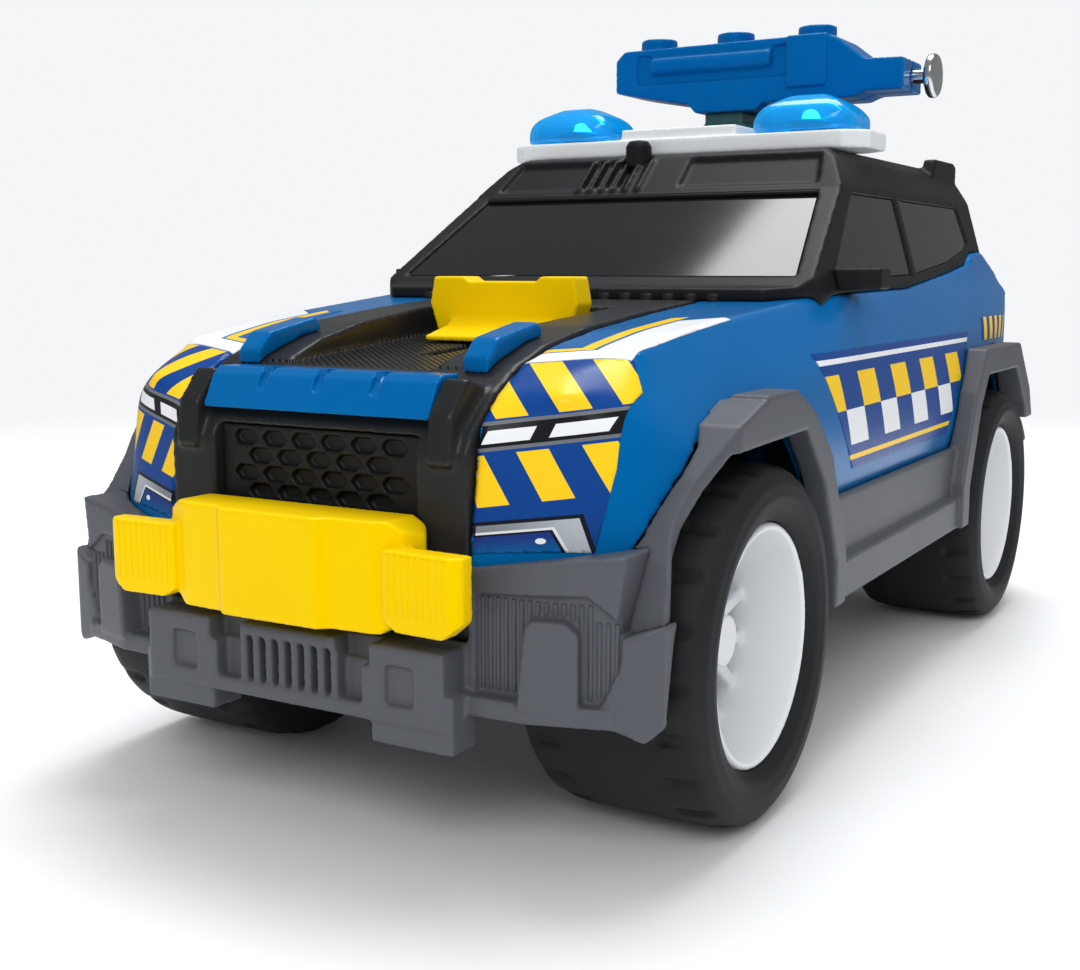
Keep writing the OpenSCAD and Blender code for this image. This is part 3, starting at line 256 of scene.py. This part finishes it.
def moulded(node, cell, soften=5, blend=0, crease=50, limit=50000):
    """A new piece from a node's solid, with its edges rounded as a mould rounds them.
    Every edge is rounded a little, and with blend the flatter folds flow into one another.
    The cells lie askew to the solid, so that no long edge runs along them in steps, and are drawn
    back to its faces before the smoothing. Crisp edges hold the blend off and let it in by degrees."""
    crisp_reach = 0.0012
    ease_reach = 0.0028
    stride = 0.7
    askew = Euler((0.35, 0.5, 0.3)).to_matrix().to_4x4()
    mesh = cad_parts[node].data.copy()
    solid = bmesh.new()
    solid.from_mesh(mesh)
    bmesh.ops.remove_doubles(solid, verts=solid.verts, dist=1e-6)
    sharp = []
    for edge in solid.edges:
        if blend and edge.calc_face_angle(0) > math.radians(crease):
            ends = [vert.co for vert in edge.verts]
            steps = max(1, int(edge.calc_length() / cell))
            sharp += [ends[0].lerp(ends[1], step / steps) for step in range(steps + 1)]
    solid.to_mesh(mesh)
    solid.free()
    mesh.transform(askew)
    piece = bpy.data.objects.new(node + "_moulding", mesh)
    scene.collection.objects.link(piece)
    cells = piece.modifiers.new("cells", "REMESH")
    cells.mode = "VOXEL"
    cells.voxel_size = cell
    cells.use_smooth_shade = True
    settled(piece).transform(askew.inverted())
    wrap = piece.modifiers.new("wrap", "SHRINKWRAP")
    wrap.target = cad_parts[node]
    mesh = settled(piece)
    count = len(mesh.vertices)
    at = np.empty(3 * count)
    mesh.vertices.foreach_get("co", at)
    at = at.reshape(-1, 3)
    links = np.empty(2 * len(mesh.edges), dtype=np.int32)
    mesh.edges.foreach_get("vertices", links)
    one, two = links.reshape(-1, 2).T
    shares = np.bincount(links, minlength=count)
    free = np.ones(count)
    if sharp:
        tree = KDTree(len(sharp))
        for index, point in enumerate(sharp):
            tree.insert(point, index)
        tree.balance()
        reach = np.array([tree.find(point)[2] for point in at])
        free = np.clip((reach - crisp_reach) / ease_reach, 0, 1)
    sharp_at = at.copy()
    out = np.empty(3 * count)
    mesh.vertices.foreach_get("normal", out)
    for turn in range(soften + blend):
        pull = np.ones(count) if turn < soften else free
        for axis in range(3):
            line = at[:, axis]
            total = np.bincount(one, line[two], count) + np.bincount(two, line[one], count)
            at[:, axis] = line + stride * pull * (total / shares - line)
        if turn == soften - 1:
            # How far each point was rounded off is kept on the mesh, so that the material can paint the edges
            # paler as a painted highlight.
            edge_highlight_amount = ((sharp_at - at) * out.reshape(-1, 3)).sum(1) / cell
            mesh.attributes.new("pale_edge_highlight", "FLOAT", "POINT").data.foreach_set("value", np.clip(edge_highlight_amount, 0, 1))
    mesh.vertices.foreach_set("co", at.ravel())
    mesh.update()
    faces = 2 * len(mesh.polygons)
    if faces > limit:
        thin = piece.modifiers.new("thin", "DECIMATE")
        thin.ratio = limit / faces
        trim(settled(piece), cell / 50)
    return piece


def fit(piece, material, body, slot, *nodes):
    """Gives a piece its finish, hangs it on its body and takes out the solids it stands for."""
    piece.data.materials.clear()
    piece.data.materials.append(material)
    even = piece.modifiers.new("even_flats", "WEIGHTED_NORMAL")
    even.weight = 50
    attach(piece, body)
    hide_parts(*nodes)


def cast(node, material, body, slot, cell, **how):
    """One moulded piece in the place of one node."""
    fit(moulded(node, cell, **how), material, body, slot, node)


def mirror_image(piece, name):
    """A copy of a piece on the other side of the car's middle plane."""
    mesh = piece.data.copy()
    mesh.transform(Matrix.Scale(-1, 4, (1, 0, 0)))
    mesh.flip_normals()
    copy = bpy.data.objects.new(name, mesh)
    scene.collection.objects.link(copy)
    return copy


def pair(kind, material, slot, cell, **how):
    """The left one of two like pieces from its solid, and the right one as its mirror image."""
    left = moulded(kind + "_left", cell, **how)
    right = mirror_image(left, kind + "_right_moulding")
    fit(left, material, "car", slot, kind + "_left")
    fit(right, material, "car", slot, kind + "_right")


black_satin = plastic("black_satin", (0.014, 0.0145, 0.0155), 0.50, shine=0.14, grain=0.010)
cast("floor_pan", black_satin, "car", "black_plastic", 0.0009, limit=70000)

# Battery box and electronics: two cells in steel contacts under a screwed door, a green circuit
# board with tinned tracks, a small paper-cone speaker and the slide switch with its thumb piece.


def dress(material, *nodes):
    for node in nodes:
        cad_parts[node].material_slots[0].material = material


def bright_metal(name, colour, rough):
    """Drawn or plated metal with fine scratches along its length and a few dull patches."""

    def look(place):
        stretched = place.node("ShaderNodeMapping", None, {"Vector": place, "Scale": (1, 14, 14)})
        drawn = stretched.noise(scale=420, detail=4)
        dull = place.noise(scale=70, detail=3)
        return {
            "Base Color": dull.mix([0.82 * c for c in colour], colour),
            "Metallic": 1.0,
            "Roughness": rough + 0.16 * (drawn - 0.5) + 0.10 * (dull - 0.5),
            "Normal": drawn.bump(depth=0.000004),
        }

    return paint(name, look)


def board_print(place):
    track_pitch = 2.6
    row = place.axes()[0] / track_pitch
    track = row.maths("FRACT", row).between(0.30, 0.62)
    break_up = place.noise(scale=160, detail=1) > 0.52
    copper = track * break_up
    return {
        "Base Color": copper.mix((0.01, 0.11, 0.035), (0.42, 0.40, 0.30)),
        "Roughness": 0.30 + 0.15 * copper,
        "Normal": copper.bump(depth=0.00006),
    }


def speaker_cone(place):
    ring = place.node("ShaderNodeTexWave", {"wave_type": "RINGS", "rings_direction": "Z"},
                      {"Vector": place, "Scale": 130, "Distortion": 0.2})
    fibre = place.noise(scale=900, detail=4)
    return {
        "Base Color": fibre.mix((0.010, 0.010, 0.011), (0.035, 0.034, 0.033)),
        "Roughness": 0.75 + 0.2 * (fibre - 0.5),
        "Normal": (0.4 * ring + 0.6 * fibre).bump(depth=0.0002),
    }


def cell_wrap(place):
    printed_half = 14
    y = place.axes()[1]
    printed = y.maths("ABSOLUTE", y) < printed_half
    gloss = place.noise(scale=60, detail=3)
    return {
        "Base Color": printed.mix((0.55, 0.56, 0.58), gloss.mix((0.02, 0.05, 0.09), (0.03, 0.07, 0.12))),
        "Metallic": 0.75 - 0.6 * printed,
        "Roughness": 0.24 + 0.12 * gloss,
    }


steel = bright_metal("bright_steel", (0.62, 0.62, 0.60), 0.30)
dress(paint("circuit_board", board_print), "circuit_board")
dress(paint("speaker_cone", speaker_cone), "speaker")
dress(paint("cell_wrap", cell_wrap), "batteries")
dress(steel, "battery_contacts", "battery_screw", "body_screws", "gun_screws", "front_axle", "rear_axle")
dress(black_satin, "power_switch")
cast("battery_door", black_satin, "car", "black_plastic", 0.0005, limit=20000)
cast("switch_knob", black_satin, "switch", "black_plastic", 0.0002, limit=6000)

# Wheels: deep white moulded rims pressed on the steel axles, each inside a hollow soft black tyre with
# blocks on its shoulder. One of each is made on the front left and set over the other three places.


def tyre_rubber(axle):
    """Matt black rubber with mould rings round its side and a faint grey bloom."""
    axle_height = 30
    ring_rate = 2.6
    wall_inner = 21.5
    wall_outer = 27

    def look(place):
        y, z = place.axes()[1:]
        square = (y - axle) * (y - axle) + (z - axle_height) * (z - axle_height)
        reach = square.maths("SQRT", square)
        wave = reach * ring_rate
        ring = wave.maths("SINE", wave)
        bloom = place.noise(scale=46, detail=5)
        speck = place.noise(scale=1500, detail=3)
        return {
            "Base Color": bloom.mix((0.011, 0.0115, 0.012), (0.022, 0.023, 0.024)),
            "Roughness": 0.58 + 0.2 * (bloom - 0.5),
            "Specular IOR Level": 0.18,
            "Normal": (0.02 * speck + 0.03 * ring * reach.between(wall_inner, wall_outer)).bump(depth=0.001),
        }

    return look


def rim_look(place):
    """White plastic, painted greyer down in the pockets between the spokes as painted shade."""
    pocket_floor = 43.3
    spoke_face = 49.0
    x = place.axes()[0]
    depth = x.maths("ABSOLUTE", x).ramp(pocket_floor, spoke_face)
    cloud = place.noise(scale=40, detail=4)
    # The pockets are painted greyer towards their floor: painted shade.
    painted_pocket_shade = (1 - depth) * (0.75 + 0.5 * cloud)
    return {
        "Base Color": painted_pocket_shade.mix((0.80, 0.82, 0.84), (0.42, 0.44, 0.47)),
        "Roughness": 0.38 + 0.2 * (cloud - 0.5) + 0.1 * painted_pocket_shade,
        "Specular IOR Level": 0.35,
        "Normal": place.noise(scale=1900, detail=2).bump(depth=0.000006),
    }


front_axle_y = -78.5
rear_axle_y = 86.5
white_rim = paint("white_rim", rim_look)
front_rubber = paint("front_tyre_rubber", tyre_rubber(front_axle_y))
rear_rubber = paint("rear_tyre_rubber", tyre_rubber(rear_axle_y))
rim = moulded("wheel_front_left", 0.0004, soften=4, limit=44000)
rim.name = "rim_master"
tread = moulded("tyre_front_left", 0.00045, limit=46000)
tread.name = "tread_master"
axle_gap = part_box("wheel_rear_left")[0].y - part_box("wheel_front_left")[0].y
for end, shift, rubber in (("front", 0, front_rubber), ("rear", axle_gap, rear_rubber)):
    for master, kind, slot, material in ((rim, "wheel", "white_plastic", white_rim),
                                         (tread, "tyre", "tyre_black", rubber)):
        node = f"{kind}_{end}"
        mesh = master.data.copy()
        mesh.transform(Matrix.Translation((0, shift, 0)))
        left = bpy.data.objects.new(node + "_left_moulding", mesh)
        scene.collection.objects.link(left)
        right = mirror_image(left, node + "_right_moulding")
        fit(left, material, end + "_wheels", slot, node + "_left")
        fit(right, material, end + "_wheels", slot, node + "_right")
bpy.data.objects.remove(rim)
bpy.data.objects.remove(tread)

# Body: wings, doors and tail in one blue gloss moulding, screwed to the floor pan from below. Its
# flatter folds flow into one another, and the wheel arches and shut lines stay crisp.
gloss_blue = plastic("gloss_blue", (0.0002, 0.128, 0.385), 0.22, shine=0.30, grain=0.002, tint=(0.05, 0.5, 1))
shell = moulded("body_shell", 0.0006, blend=80, limit=180000)
fit(shell, gloss_blue, "car", "blue_plastic", "body_shell")

# Stickers: printed vinyl films on the wings, the nose, the doors and the tail, the same on both sides.
# Each is a fine sheet cut to its corners and pressed on the body from outside.
skin = BVHTree.FromObject(shell, bpy.context.evaluated_depsgraph_get())


def hand(side):
    return "left" if side > 0 else "right"


def sticker(name, side, corners, facing, material, cell=0.0006):
    """A film inside the corners, in millimetres, pressed on the body against the way it faces."""
    stand_off = 0.3
    lift = 0.00012
    thickness = 0.0002
    least = cell / 8
    out = Vector((side * facing[0], facing[1], facing[2])).normalized()
    across = Vector((0, 0, 1)).cross(out).normalized()
    up = out.cross(across)
    points = [0.001 * Vector((side * x, y, z)) for x, y, z in corners]
    outline = [Vector((point.dot(across), point.dot(up), 0)) for point in points]
    if side < 0:
        outline.reverse()
    low = Vector(min(point[axis] for point in outline) for axis in range(3))
    high = Vector(max(point[axis] for point in outline) for axis in range(3))
    wide = int((high.x - low.x) / cell) + 2
    tall = int((high.y - low.y) / cell) + 2
    film = bmesh.new()
    rows = [[film.verts.new((low.x + cell * i, low.y + cell * j, 0)) for i in range(wide)]
            for j in range(tall)]
    for below, above in zip(rows, rows[1:]):
        for i in range(wide - 1):
            film.faces.new((below[i], below[i + 1], above[i + 1], above[i]))
    for start, end in zip(outline, outline[1:] + outline[:1]):
        along = end - start
        bmesh.ops.bisect_plane(film, geom=film.verts[:] + film.edges[:] + film.faces[:], plane_co=start,
                               plane_no=(along.y, -along.x, 0), clear_outer=True)
    bmesh.ops.remove_doubles(film, verts=film.verts, dist=least)
    bmesh.ops.dissolve_degenerate(film, dist=least, edges=film.edges)
    lost = []
    for vert in film.verts:
        start = vert.co.x * across + vert.co.y * up + stand_off * out
        place, normal = skin.ray_cast(start, -out)[:2]
        if place is None:
            lost.append(vert)
        else:
            vert.co = place + lift * normal
    bmesh.ops.delete(film, geom=lost, context="VERTS")
    piece = bpy.data.objects.new(f"{name}_{hand(side)}", bpy.data.meshes.new(name))
    film.to_mesh(piece.data)
    film.free()
    piece.data.shade_smooth()
    scene.collection.objects.link(piece)
    film_thickness = piece.modifiers.new("film", "SOLIDIFY")
    film_thickness.thickness = thickness
    film_thickness.offset = -1
    fit(piece, material, "car", "blue_plastic")


def film_print(place, colour):
    """A printed colour under a clear film: slightly uneven in gloss, with a trace of orange peel."""
    peel = place.noise(scale=700, detail=2)
    return {"Base Color": colour, "Roughness": 0.26 + 0.12 * (peel - 0.5), "Specular IOR Level": 0.18,
            "Normal": peel.bump(depth=0.000002)}


navy = (0.003, 0.055, 0.270)
print_yellow = (1.0, 0.63, 0.012)
print_white = (0.86, 0.88, 0.90)


def nose_print(place):
    """Hazard bars over and under a printed headlamp strip, and a fog lamp with its pale hood."""
    inner_x = 30
    high_pitch = 11.9
    low_pitch = 9.5
    low_bars_foot = 56.0
    strip_rise = 0.133
    strip_low = 64.1
    strip_high = 68.45
    strip_edge = 0.55
    tube_low = 65.2
    tube_high = 67.1
    tube_lean = 0.42
    hood_rise = 0.11
    x, y, z = place.axes()
    x = x.maths("ABSOLUTE", x)
    upper = (x + 0.647 * y + 0.735 * z - 20.2) / high_pitch
    lower = (x + 0.58 * z - 72.6) / low_pitch
    level = z - strip_rise * (x - inner_x)
    high_bars = (upper.maths("FRACT", upper) < 0.52) * (level > strip_high + 0.3)
    low_bars = (lower.maths("FRACT", lower) < 0.5) * level.between(low_bars_foot, strip_low - 0.5)
    strip = level.between(strip_low, strip_high)
    rim_line = 1 - level.between(strip_low + strip_edge, strip_high - strip_edge)
    slide = x - tube_lean * (level - 66.1)
    tubes = level.between(tube_low, tube_high) * (slide.between(30.75, 37.4) + slide.between(40.0, 47.7))
    hood_level = z - hood_rise * (x - inner_x)
    left_leg = x + 0.64 * (z - 53.3) - 41.0
    right_leg = x + 0.38 * (z - 54.0) - 44.9
    hood = (hood_level < 53.35) * (right_leg < 0) * ((hood_level > 52.0) + (left_leg > 0) > 0.5) * (x > 30.6)
    hood_edge = (hood_level < 52.35) * (left_leg < 0.5) * hood
    lens = (hood_level < 51.7) * (left_leg < -0.5) * (hood_level > 48.2)
    frame_dark = (hood_level < 53.9) * (right_leg < 0.7) * (1 - hood) * (1 - lens)
    glint = ((x - 39.6) * (x - 39.6) + 3.0 * (z - 51.5) * (z - 51.5)) < 0.55
    colour = (high_bars + low_bars).mix(navy, print_yellow)
    colour = strip.mix(colour, (0.010, 0.010, 0.012))
    colour = (strip * rim_line).mix(colour, (0.16, 0.17, 0.19))
    colour = tubes.mix(colour, print_white)
    colour = frame_dark.mix(colour, (0.008, 0.010, 0.022))
    colour = lens.mix(colour, (hood_level.ramp(48.5, 51.5)).mix((0.0, 0.12, 0.36), (0.012, 0.040, 0.22)))
    colour = hood.mix(colour, x.ramp(32, 47).mix((0.22, 0.24, 0.27), (0.50, 0.54, 0.58)))
    colour = hood_edge.mix(colour, (0.78, 0.80, 0.84))
    return film_print(place, glint.mix(colour, (0.9, 0.92, 0.94)))


def wing_print(place):
    """A white band round the front and the outside of the wing top, with a thin yellow line inside it."""
    front_lean = 0.329
    front_band = 4.5
    side_lean = 0.058
    side_band = 7.4
    end_lean = 1.09
    yellow_overrun = 6
    x, y, _ = place.axes()
    x = x.maths("ABSOLUTE", x)
    from_front = (y + 103.7 - front_lean * (x - 30.2)) / front_band
    from_side = (46.4 + side_lean * (y + 93.7) - x) / side_band
    inside = from_front.maths("MINIMUM", from_front, from_side)
    before_end = x - 39.4 - end_lean * (y + 70.5)
    white = inside.between(-0.2, 1.0) * (before_end > 0)
    yellow = inside.between(1.10, 1.42) * (before_end > -yellow_overrun)
    return film_print(place, yellow.mix(white.mix((0.0005, 0.115, 0.36), print_white), print_yellow))


def door_print(place):
    """Two rows of leaning chequers between a white and a yellow line, on navy."""
    chequer_pitch = 22
    chequer_lean = 0.45
    rows_meet = 64.2
    y, z = place.axes()[1:]
    along = (y + chequer_lean * z) / chequer_pitch
    column = along.maths("FRACT", along) < 0.5
    top_row = z > rows_meet
    chequer = column.maths("ABSOLUTE", column - top_row)
    field = z.between(57.2, 71.2)
    blocks = (1 - top_row).mix(print_yellow, print_white)
    colour = (field * chequer).mix(navy, blocks)
    colour = z.between(73.2, 74.2).mix(colour, print_white)
    colour = z.between(54.2, 55.2).mix(colour, print_yellow)
    return film_print(place, colour)


def tail_print(place):
    """Leaning yellow bars on navy."""
    bar_pitch = 6.4
    bar_lean = 0.55
    y, z = place.axes()[1:]
    bar = (y - bar_lean * z) / bar_pitch
    return film_print(place, (bar.maths("FRACT", bar) < 0.5).mix(navy, print_yellow))


def tail_lamp_print(place):
    """A red lens with a clear strip across it, in a dark frame."""
    facets_per_mm = 0.9
    x, _, z = place.axes()
    x = x.maths("ABSOLUTE", x)
    lens = x.between(36.2, 49.8) * z.between(64.2, 77.8)
    strip = lens * z.between(68.2, 71.2)
    facet = x * facets_per_mm
    red = facet.maths("FRACT", facet).mix((0.38, 0.006, 0.008), (0.52, 0.012, 0.012))
    return film_print(place, strip.mix(lens.mix((0.010, 0.010, 0.012), red), print_white))


nose_film = paint("nose_print", nose_print)
wing_film = paint("wing_print", wing_print)
door_film = paint("door_print", door_print)
tail_film = paint("tail_print", tail_print)
tail_lamp_film = paint("tail_lamp_print", tail_lamp_print)
for side in (1, -1):
    sticker("nose_sticker", side,
            [(29.9, -118.8, 49.2), (48.3, -110.8, 49.8), (48.6, -108.6, 62), (50.2, -103.2, 71.1),
             (45.9, -98.9, 77.7), (29.9, -103.9, 76.4)], (0, -0.88, 0.47), nose_film)
    sticker("wing_sticker", side,
            [(29.9, -103.3, 76.5), (45.6, -98.3, 77.9), (46.0, -93.0, 79), (47.3, -64.0, 82.4),
             (36.5, -64.0, 82.4), (29.9, -93.5, 79)], (0, -0.25, 0.97), wing_film)
    sticker("door_sticker", side,
            [(57, -24, 52.4), (57, 46, 52.4), (56, 69, 75.6), (56, -43, 75.6)], (1, 0, 0.1), door_film, 0.001)
    sticker("tail_lamp_sticker", side,
            [(51, 124, 63), (35, 127, 63), (35, 127, 79), (51, 124, 79)], (0, 1, 0), tail_lamp_film)
    sticker("tail_sticker", side,
            [(56, 83, 72.8), (56, 112, 72.8), (55, 115, 78.6), (55, 86, 78.6)], (1, 0, 0.1), tail_film, 0.001)

# Bumpers and arch trim: grey satin mouldings clipped over the foot of the body, with a skid plate,
# raised pads and corner wedges in front. Fine upright ribs fill the walls beside the skid plate.


def rib_tree():
    """Geometry Nodes: a straight row of half-round ribs, each a rod sunk in the wall behind it."""
    tree = bpy.data.node_groups.new("rib_row", "GeometryNodeTree")
    kinds = {"Ribs": "Int", "First": "Vector", "Step": "Vector", "Half": "Vector", "Radius": "Float",
             "Finish": "Material"}
    tree.interface.new_socket("Mesh", in_out="INPUT", socket_type="NodeSocketGeometry")
    for label, kind in kinds.items():
        tree.interface.new_socket(label, in_out="INPUT", socket_type="NodeSocket" + kind)
    tree.interface.new_socket("Mesh", in_out="OUTPUT", socket_type="NodeSocketGeometry")
    given = tree.nodes.new("NodeGroupInput")
    size = {label: Wire(tree, given.outputs[label]) for label in kinds}
    half = size["Half"]
    back = half.node("ShaderNodeVectorMath", {"operation": "SCALE"}, {0: half, "Scale": -1.0})
    line = half.node("GeometryNodeCurvePrimitiveLine", None, {"Start": back, "End": half})
    circle = half.node("GeometryNodeCurvePrimitiveCircle", None, {"Resolution": 10, "Radius": size["Radius"]})
    rod = line.node("GeometryNodeCurveToMesh", None,
                    {"Curve": line, "Profile Curve": circle, "Fill Caps": True})
    places = half.node("GeometryNodeMeshLine", None,
                       {"Count": size["Ribs"], "Start Location": size["First"], "Offset": size["Step"]})
    row = rod.node("GeometryNodeInstanceOnPoints", None, {"Points": places, "Instance": rod})
    real = row.node("GeometryNodeRealizeInstances", None, {0: row})
    done = real.node("GeometryNodeSetMaterial", None, {"Geometry": real, "Material": size["Finish"]})
    tree.links.new(done.socket, tree.nodes.new("NodeGroupOutput").inputs[0])
    return tree


rib_row = rib_tree()


def ribs(name, body, slot, material, count, first, last, half, radius):
    """A row of ribs from first to last, in millimetres, as one plain mesh on a body."""
    first = 0.001 * Vector(first)
    last = 0.001 * Vector(last)
    sizes = {"Ribs": count, "First": first, "Step": (last - first) / (count - 1),
             "Half": 0.001 * Vector(half), "Radius": 0.001 * radius, "Finish": material}
    piece = bpy.data.objects.new(name, bpy.data.meshes.new(name))
    scene.collection.objects.link(piece)
    row = piece.modifiers.new("ribs", "NODES")
    row.node_group = rib_row
    for item in rib_row.interface.items_tree:
        if item.in_out == "INPUT" and item.name in sizes:
            row[item.identifier] = sizes[item.name]
    mesh = settled(piece)
    mesh.shade_smooth()
    fit(piece, material, body, slot)


grey_trim = plastic("grey_trim", (0.088, 0.094, 0.108), 0.42, shine=0.26, grain=0.012)
for node, cell, limit in (("front_bumper", 0.00035, 130000), ("rear_bumper", 0.0006, 50000)):
    cast(node, grey_trim, "car", "grey_trim", cell, limit=limit)
pair("cladding", grey_trim, "grey_trim", 0.00032, soften=6, limit=100000)
rib_radius = 0.36
for side in (1, -1):
    for part, count, first, last, level, half in (
            ("inner", 8, (31.9, -118.63), (41.0, -118.1), 36.3, 6.9),
            ("middle", 6, (42.3, -117.83), (48.8, -116.48), 36.3, 6.9),
            ("outer", 3, (50.1, -116.21), (52.7, -115.67), 35.4, 5.4)):
        ribs(f"bumper_ribs_{part}_{hand(side)}", "car", "grey_trim", grey_trim, count,
             (side * first[0], first[1], level), (side * last[0], last[1], level), (0, 0, half), rib_radius)

# Bonnet centre: a black gloss moulding with the grille surround and the lever channel, whose floor has
# fine slanting ridges. The grille, the blue nose bar and the two blue rails are pressed into it.


def channel_ridges(place):
    """The height of slanting ridges, which lie only near the rising floor of the channel."""
    floor_front = -108
    floor_height = 74.95
    floor_rise = 0.0594
    channel_half = 20
    ridge_rate = 4.2
    ridge_height = 0.30
    x, y, z = place.axes()
    above = z - floor_height - floor_rise * (y - floor_front)
    on_floor = above.between(-0.6, 0.6) * y.between(-106, -60) * (x.maths("ABSOLUTE", x) < channel_half)
    wave = (x + y) * ridge_rate
    return ridge_height * on_floor * wave.maths("SINE", wave)


def notched(piece, centres, half_width, top, tip, front, back):
    """Cuts a row of upright V notches through the front edge of a piece, all sizes in millimetres."""
    wedges = bmesh.new()
    for centre in centres:
        section = ((centre - half_width, top), (centre, tip), (centre + half_width, top))
        ends = [[wedges.verts.new(0.001 * Vector((x, y, z))) for x, z in section] for y in (front, back)]
        for end in ends:
            wedges.faces.new(end)
        for i in range(3):
            wedges.faces.new((ends[0][i], ends[0][i - 1], ends[1][i - 1], ends[1][i]))
    bmesh.ops.recalc_face_normals(wedges, faces=wedges.faces)
    cutter = bpy.data.objects.new("notch_cutter", bpy.data.meshes.new("notch_cutter"))
    wedges.to_mesh(cutter.data)
    wedges.free()
    scene.collection.objects.link(cutter)
    notches = piece.modifiers.new("notches", "BOOLEAN")
    notches.operation = "DIFFERENCE"
    notches.object = cutter
    trim(settled(piece), 0.000005)
    bpy.data.objects.remove(cutter)
    return piece


black_gloss = plastic("black_gloss", (0.019, 0.0195, 0.0205), 0.34, shine=0.20, grain=0.003,
                      relief=channel_ridges)
grille_black = plastic("grille_black", (0.011, 0.011, 0.012), 0.42, shine=0.2)
cast("bonnet_frame", black_gloss, "car", "black_gloss", 0.00045, limit=120000)
cast("grille", grille_black, "car", "black_plastic", 0.00025, soften=3, limit=60000)
notch_gap = 11.2
nose_bar = notched(moulded("nose_bar", 0.00025, soften=3, limit=50000), (-notch_gap, 0, notch_gap),
                   half_width=2.0, top=76.4, tip=72.6, front=-121, back=-112.4)
fit(nose_bar, gloss_blue, "car", "blue_plastic", "nose_bar")
pair("bonnet_rail", gloss_blue, "blue_plastic", 0.0003, soften=8, limit=30000)

# Ram: a thick yellow moulding with two ribbed paddles on a pair of guide rods, pushed out by the yellow
# lever that stands in the bonnet channel.
ram_yellow = plastic("ram_yellow", (1.0, 0.645, 0.0), 0.36, shine=0.25, grain=0.004, tint=(1, 0.7, 0))
cast("ram_bumper", ram_yellow, "ram", "yellow_plastic", 0.00032, soften=6, limit=100000)
cast("bonnet_lever", ram_yellow, "ram", "yellow_plastic", 0.0003, soften=5, limit=30000)
dress(ram_yellow, "ram_slide")
for side in (1, -1):
    ribs(f"paddle_ribs_{hand(side)}", "ram", "yellow_plastic", ram_yellow, 9,
         (side * 22.0, -128.48, 45.6), (side * 32.0, -129.04, 45.6), (0, 0, 4.5), 0.26)

# Cabin: the black upper body with its pillars, the ribbed header, the roof and the tail fins, in satin
# plastic, with dark opaque panes behind the openings and a mirror screwed on each door. A row of teeth
# stands under the windscreen, and a seal of two beads lies over it.


def tinted_pane(place):
    smear = place.noise(scale=24, detail=4)
    return {
        "Base Color": smear.mix((0.005, 0.0055, 0.006), (0.009, 0.010, 0.011)),
        "Roughness": 0.05 + 0.06 * smear,
        "Specular IOR Level": 0.5,
        "Normal": place.noise(scale=30, detail=1).bump(depth=0.00006),
    }


cabin_black = plastic("cabin_black", (0.0125, 0.013, 0.014), 0.42, shine=0.11, grain=0.008)
pane = paint("tinted_pane", tinted_pane)
cast("cabin", cabin_black, "car", "black_plastic", 0.00035, soften=9, limit=190000)
dress(pane, "windscreen", "side_windows_left", "side_windows_right", "rear_window")
pair("mirror", cabin_black, "black_plastic", 0.0003, soften=6, limit=15000)
ribs("cowl_teeth", "car", "black_plastic", cabin_black, 15,
     (-32.9, -38.0, 84.6), (32.9, -38.0, 84.6), (0, 0, 1.6), 1.3)
ribs("screen_seal", "car", "black_plastic", cabin_black, 2,
     (0, -2.25, 106.72), (0, -1.62, 107.13), (40.6, 0, 0), 0.45)
cast("roof_button", cabin_black, "button", "black_gloss", 0.0002, limit=10000)

# Light bar: a white moulded plinth on the roof with two clear blue domes snapped over bright dishes, each
# with a white lamp in the middle. The domes carry a faint painted glow, brighter towards their tops.


def clear_blue(place):
    dome_foot = 119
    dome_top = 128
    z = place.axes()[2]
    depth = place.noise(scale=60, detail=2)
    return {
        "Base Color": depth.mix((0.006, 0.33, 0.62), (0.015, 0.42, 0.70)),
        "Roughness": 0.06 + 0.05 * depth,
        "Transmission Weight": 0.72,
        "IOR": 1.46,
        # A faint painted glow, brighter towards the dome's top, stands in for the light of the lamp inside
        # the dome.
        "Emission Color": z.ramp(dome_foot, dome_top).mix((0.0, 0.14, 0.34), (0.005, 0.26, 0.52)),
        "Emission Strength": 0.35,
    }


def lamp_glow(place):
    spark = place.noise(scale=500, detail=2)
    return {
        "Base Color": (0.9, 0.95, 1.0),
        "Roughness": 0.2 + 0.1 * spark,
        "Emission Color": spark.mix((0.75, 0.92, 1.0), (1.0, 1.0, 1.0)),
        "Emission Strength": 16.0,
    }


bar_white = plastic("bar_white", (0.80, 0.83, 0.85), 0.34, shine=0.4)
cast("light_bar", bar_white, "car", "white_plastic", 0.0004, limit=50000)
dome_blue_painted_glow = paint("clear_blue", clear_blue)
pair("dome", dome_blue_painted_glow, "clear_blue", 0.0004, soften=22, limit=24000)
dress(bright_metal("bright_dish", (0.80, 0.82, 0.86), 0.16), "reflectors")
cast("leds", paint("lamp_glow", lamp_glow), "car", "lamp", 0.0002, limit=4000)

# Water squirter: two blue half shells screwed together round a pale cylinder, on a dark teal pedestal
# that turns in the light bar. The chrome knob at its side draws the plunger out.
squirter_blue = plastic("squirter_blue", (0.0002, 0.118, 0.375), 0.27, shine=0.28, grain=0.002,
                        tint=(0.05, 0.5, 1))
pedestal_teal = plastic("pedestal_teal", (0.026, 0.09, 0.098), 0.36)
nozzle_pale = plastic("nozzle_pale", (0.62, 0.66, 0.70), 0.35)
cast("turret_base", pedestal_teal, "turret", "dark_teal", 0.0003, limit=24000)
for node in ("gun_shell_front", "gun_shell_rear"):
    cast(node, squirter_blue, "turret", "blue_plastic", 0.0004, limit=60000)
dress(nozzle_pale, "gun_nozzle", "gun_cylinder")
dress(bright_metal("plunger_chrome", (0.78, 0.79, 0.80), 0.14), "plunger_rod")
knob_chrome = bright_metal("knob_chrome", (0.74, 0.76, 0.78), 0.20)
cast("plunger_knob", knob_chrome, "plunger", "chrome", 0.0002, limit=16000)
seal_y = 48
dress(paint("seal_rubber", tyre_rubber(seal_y)), "piston_seal")
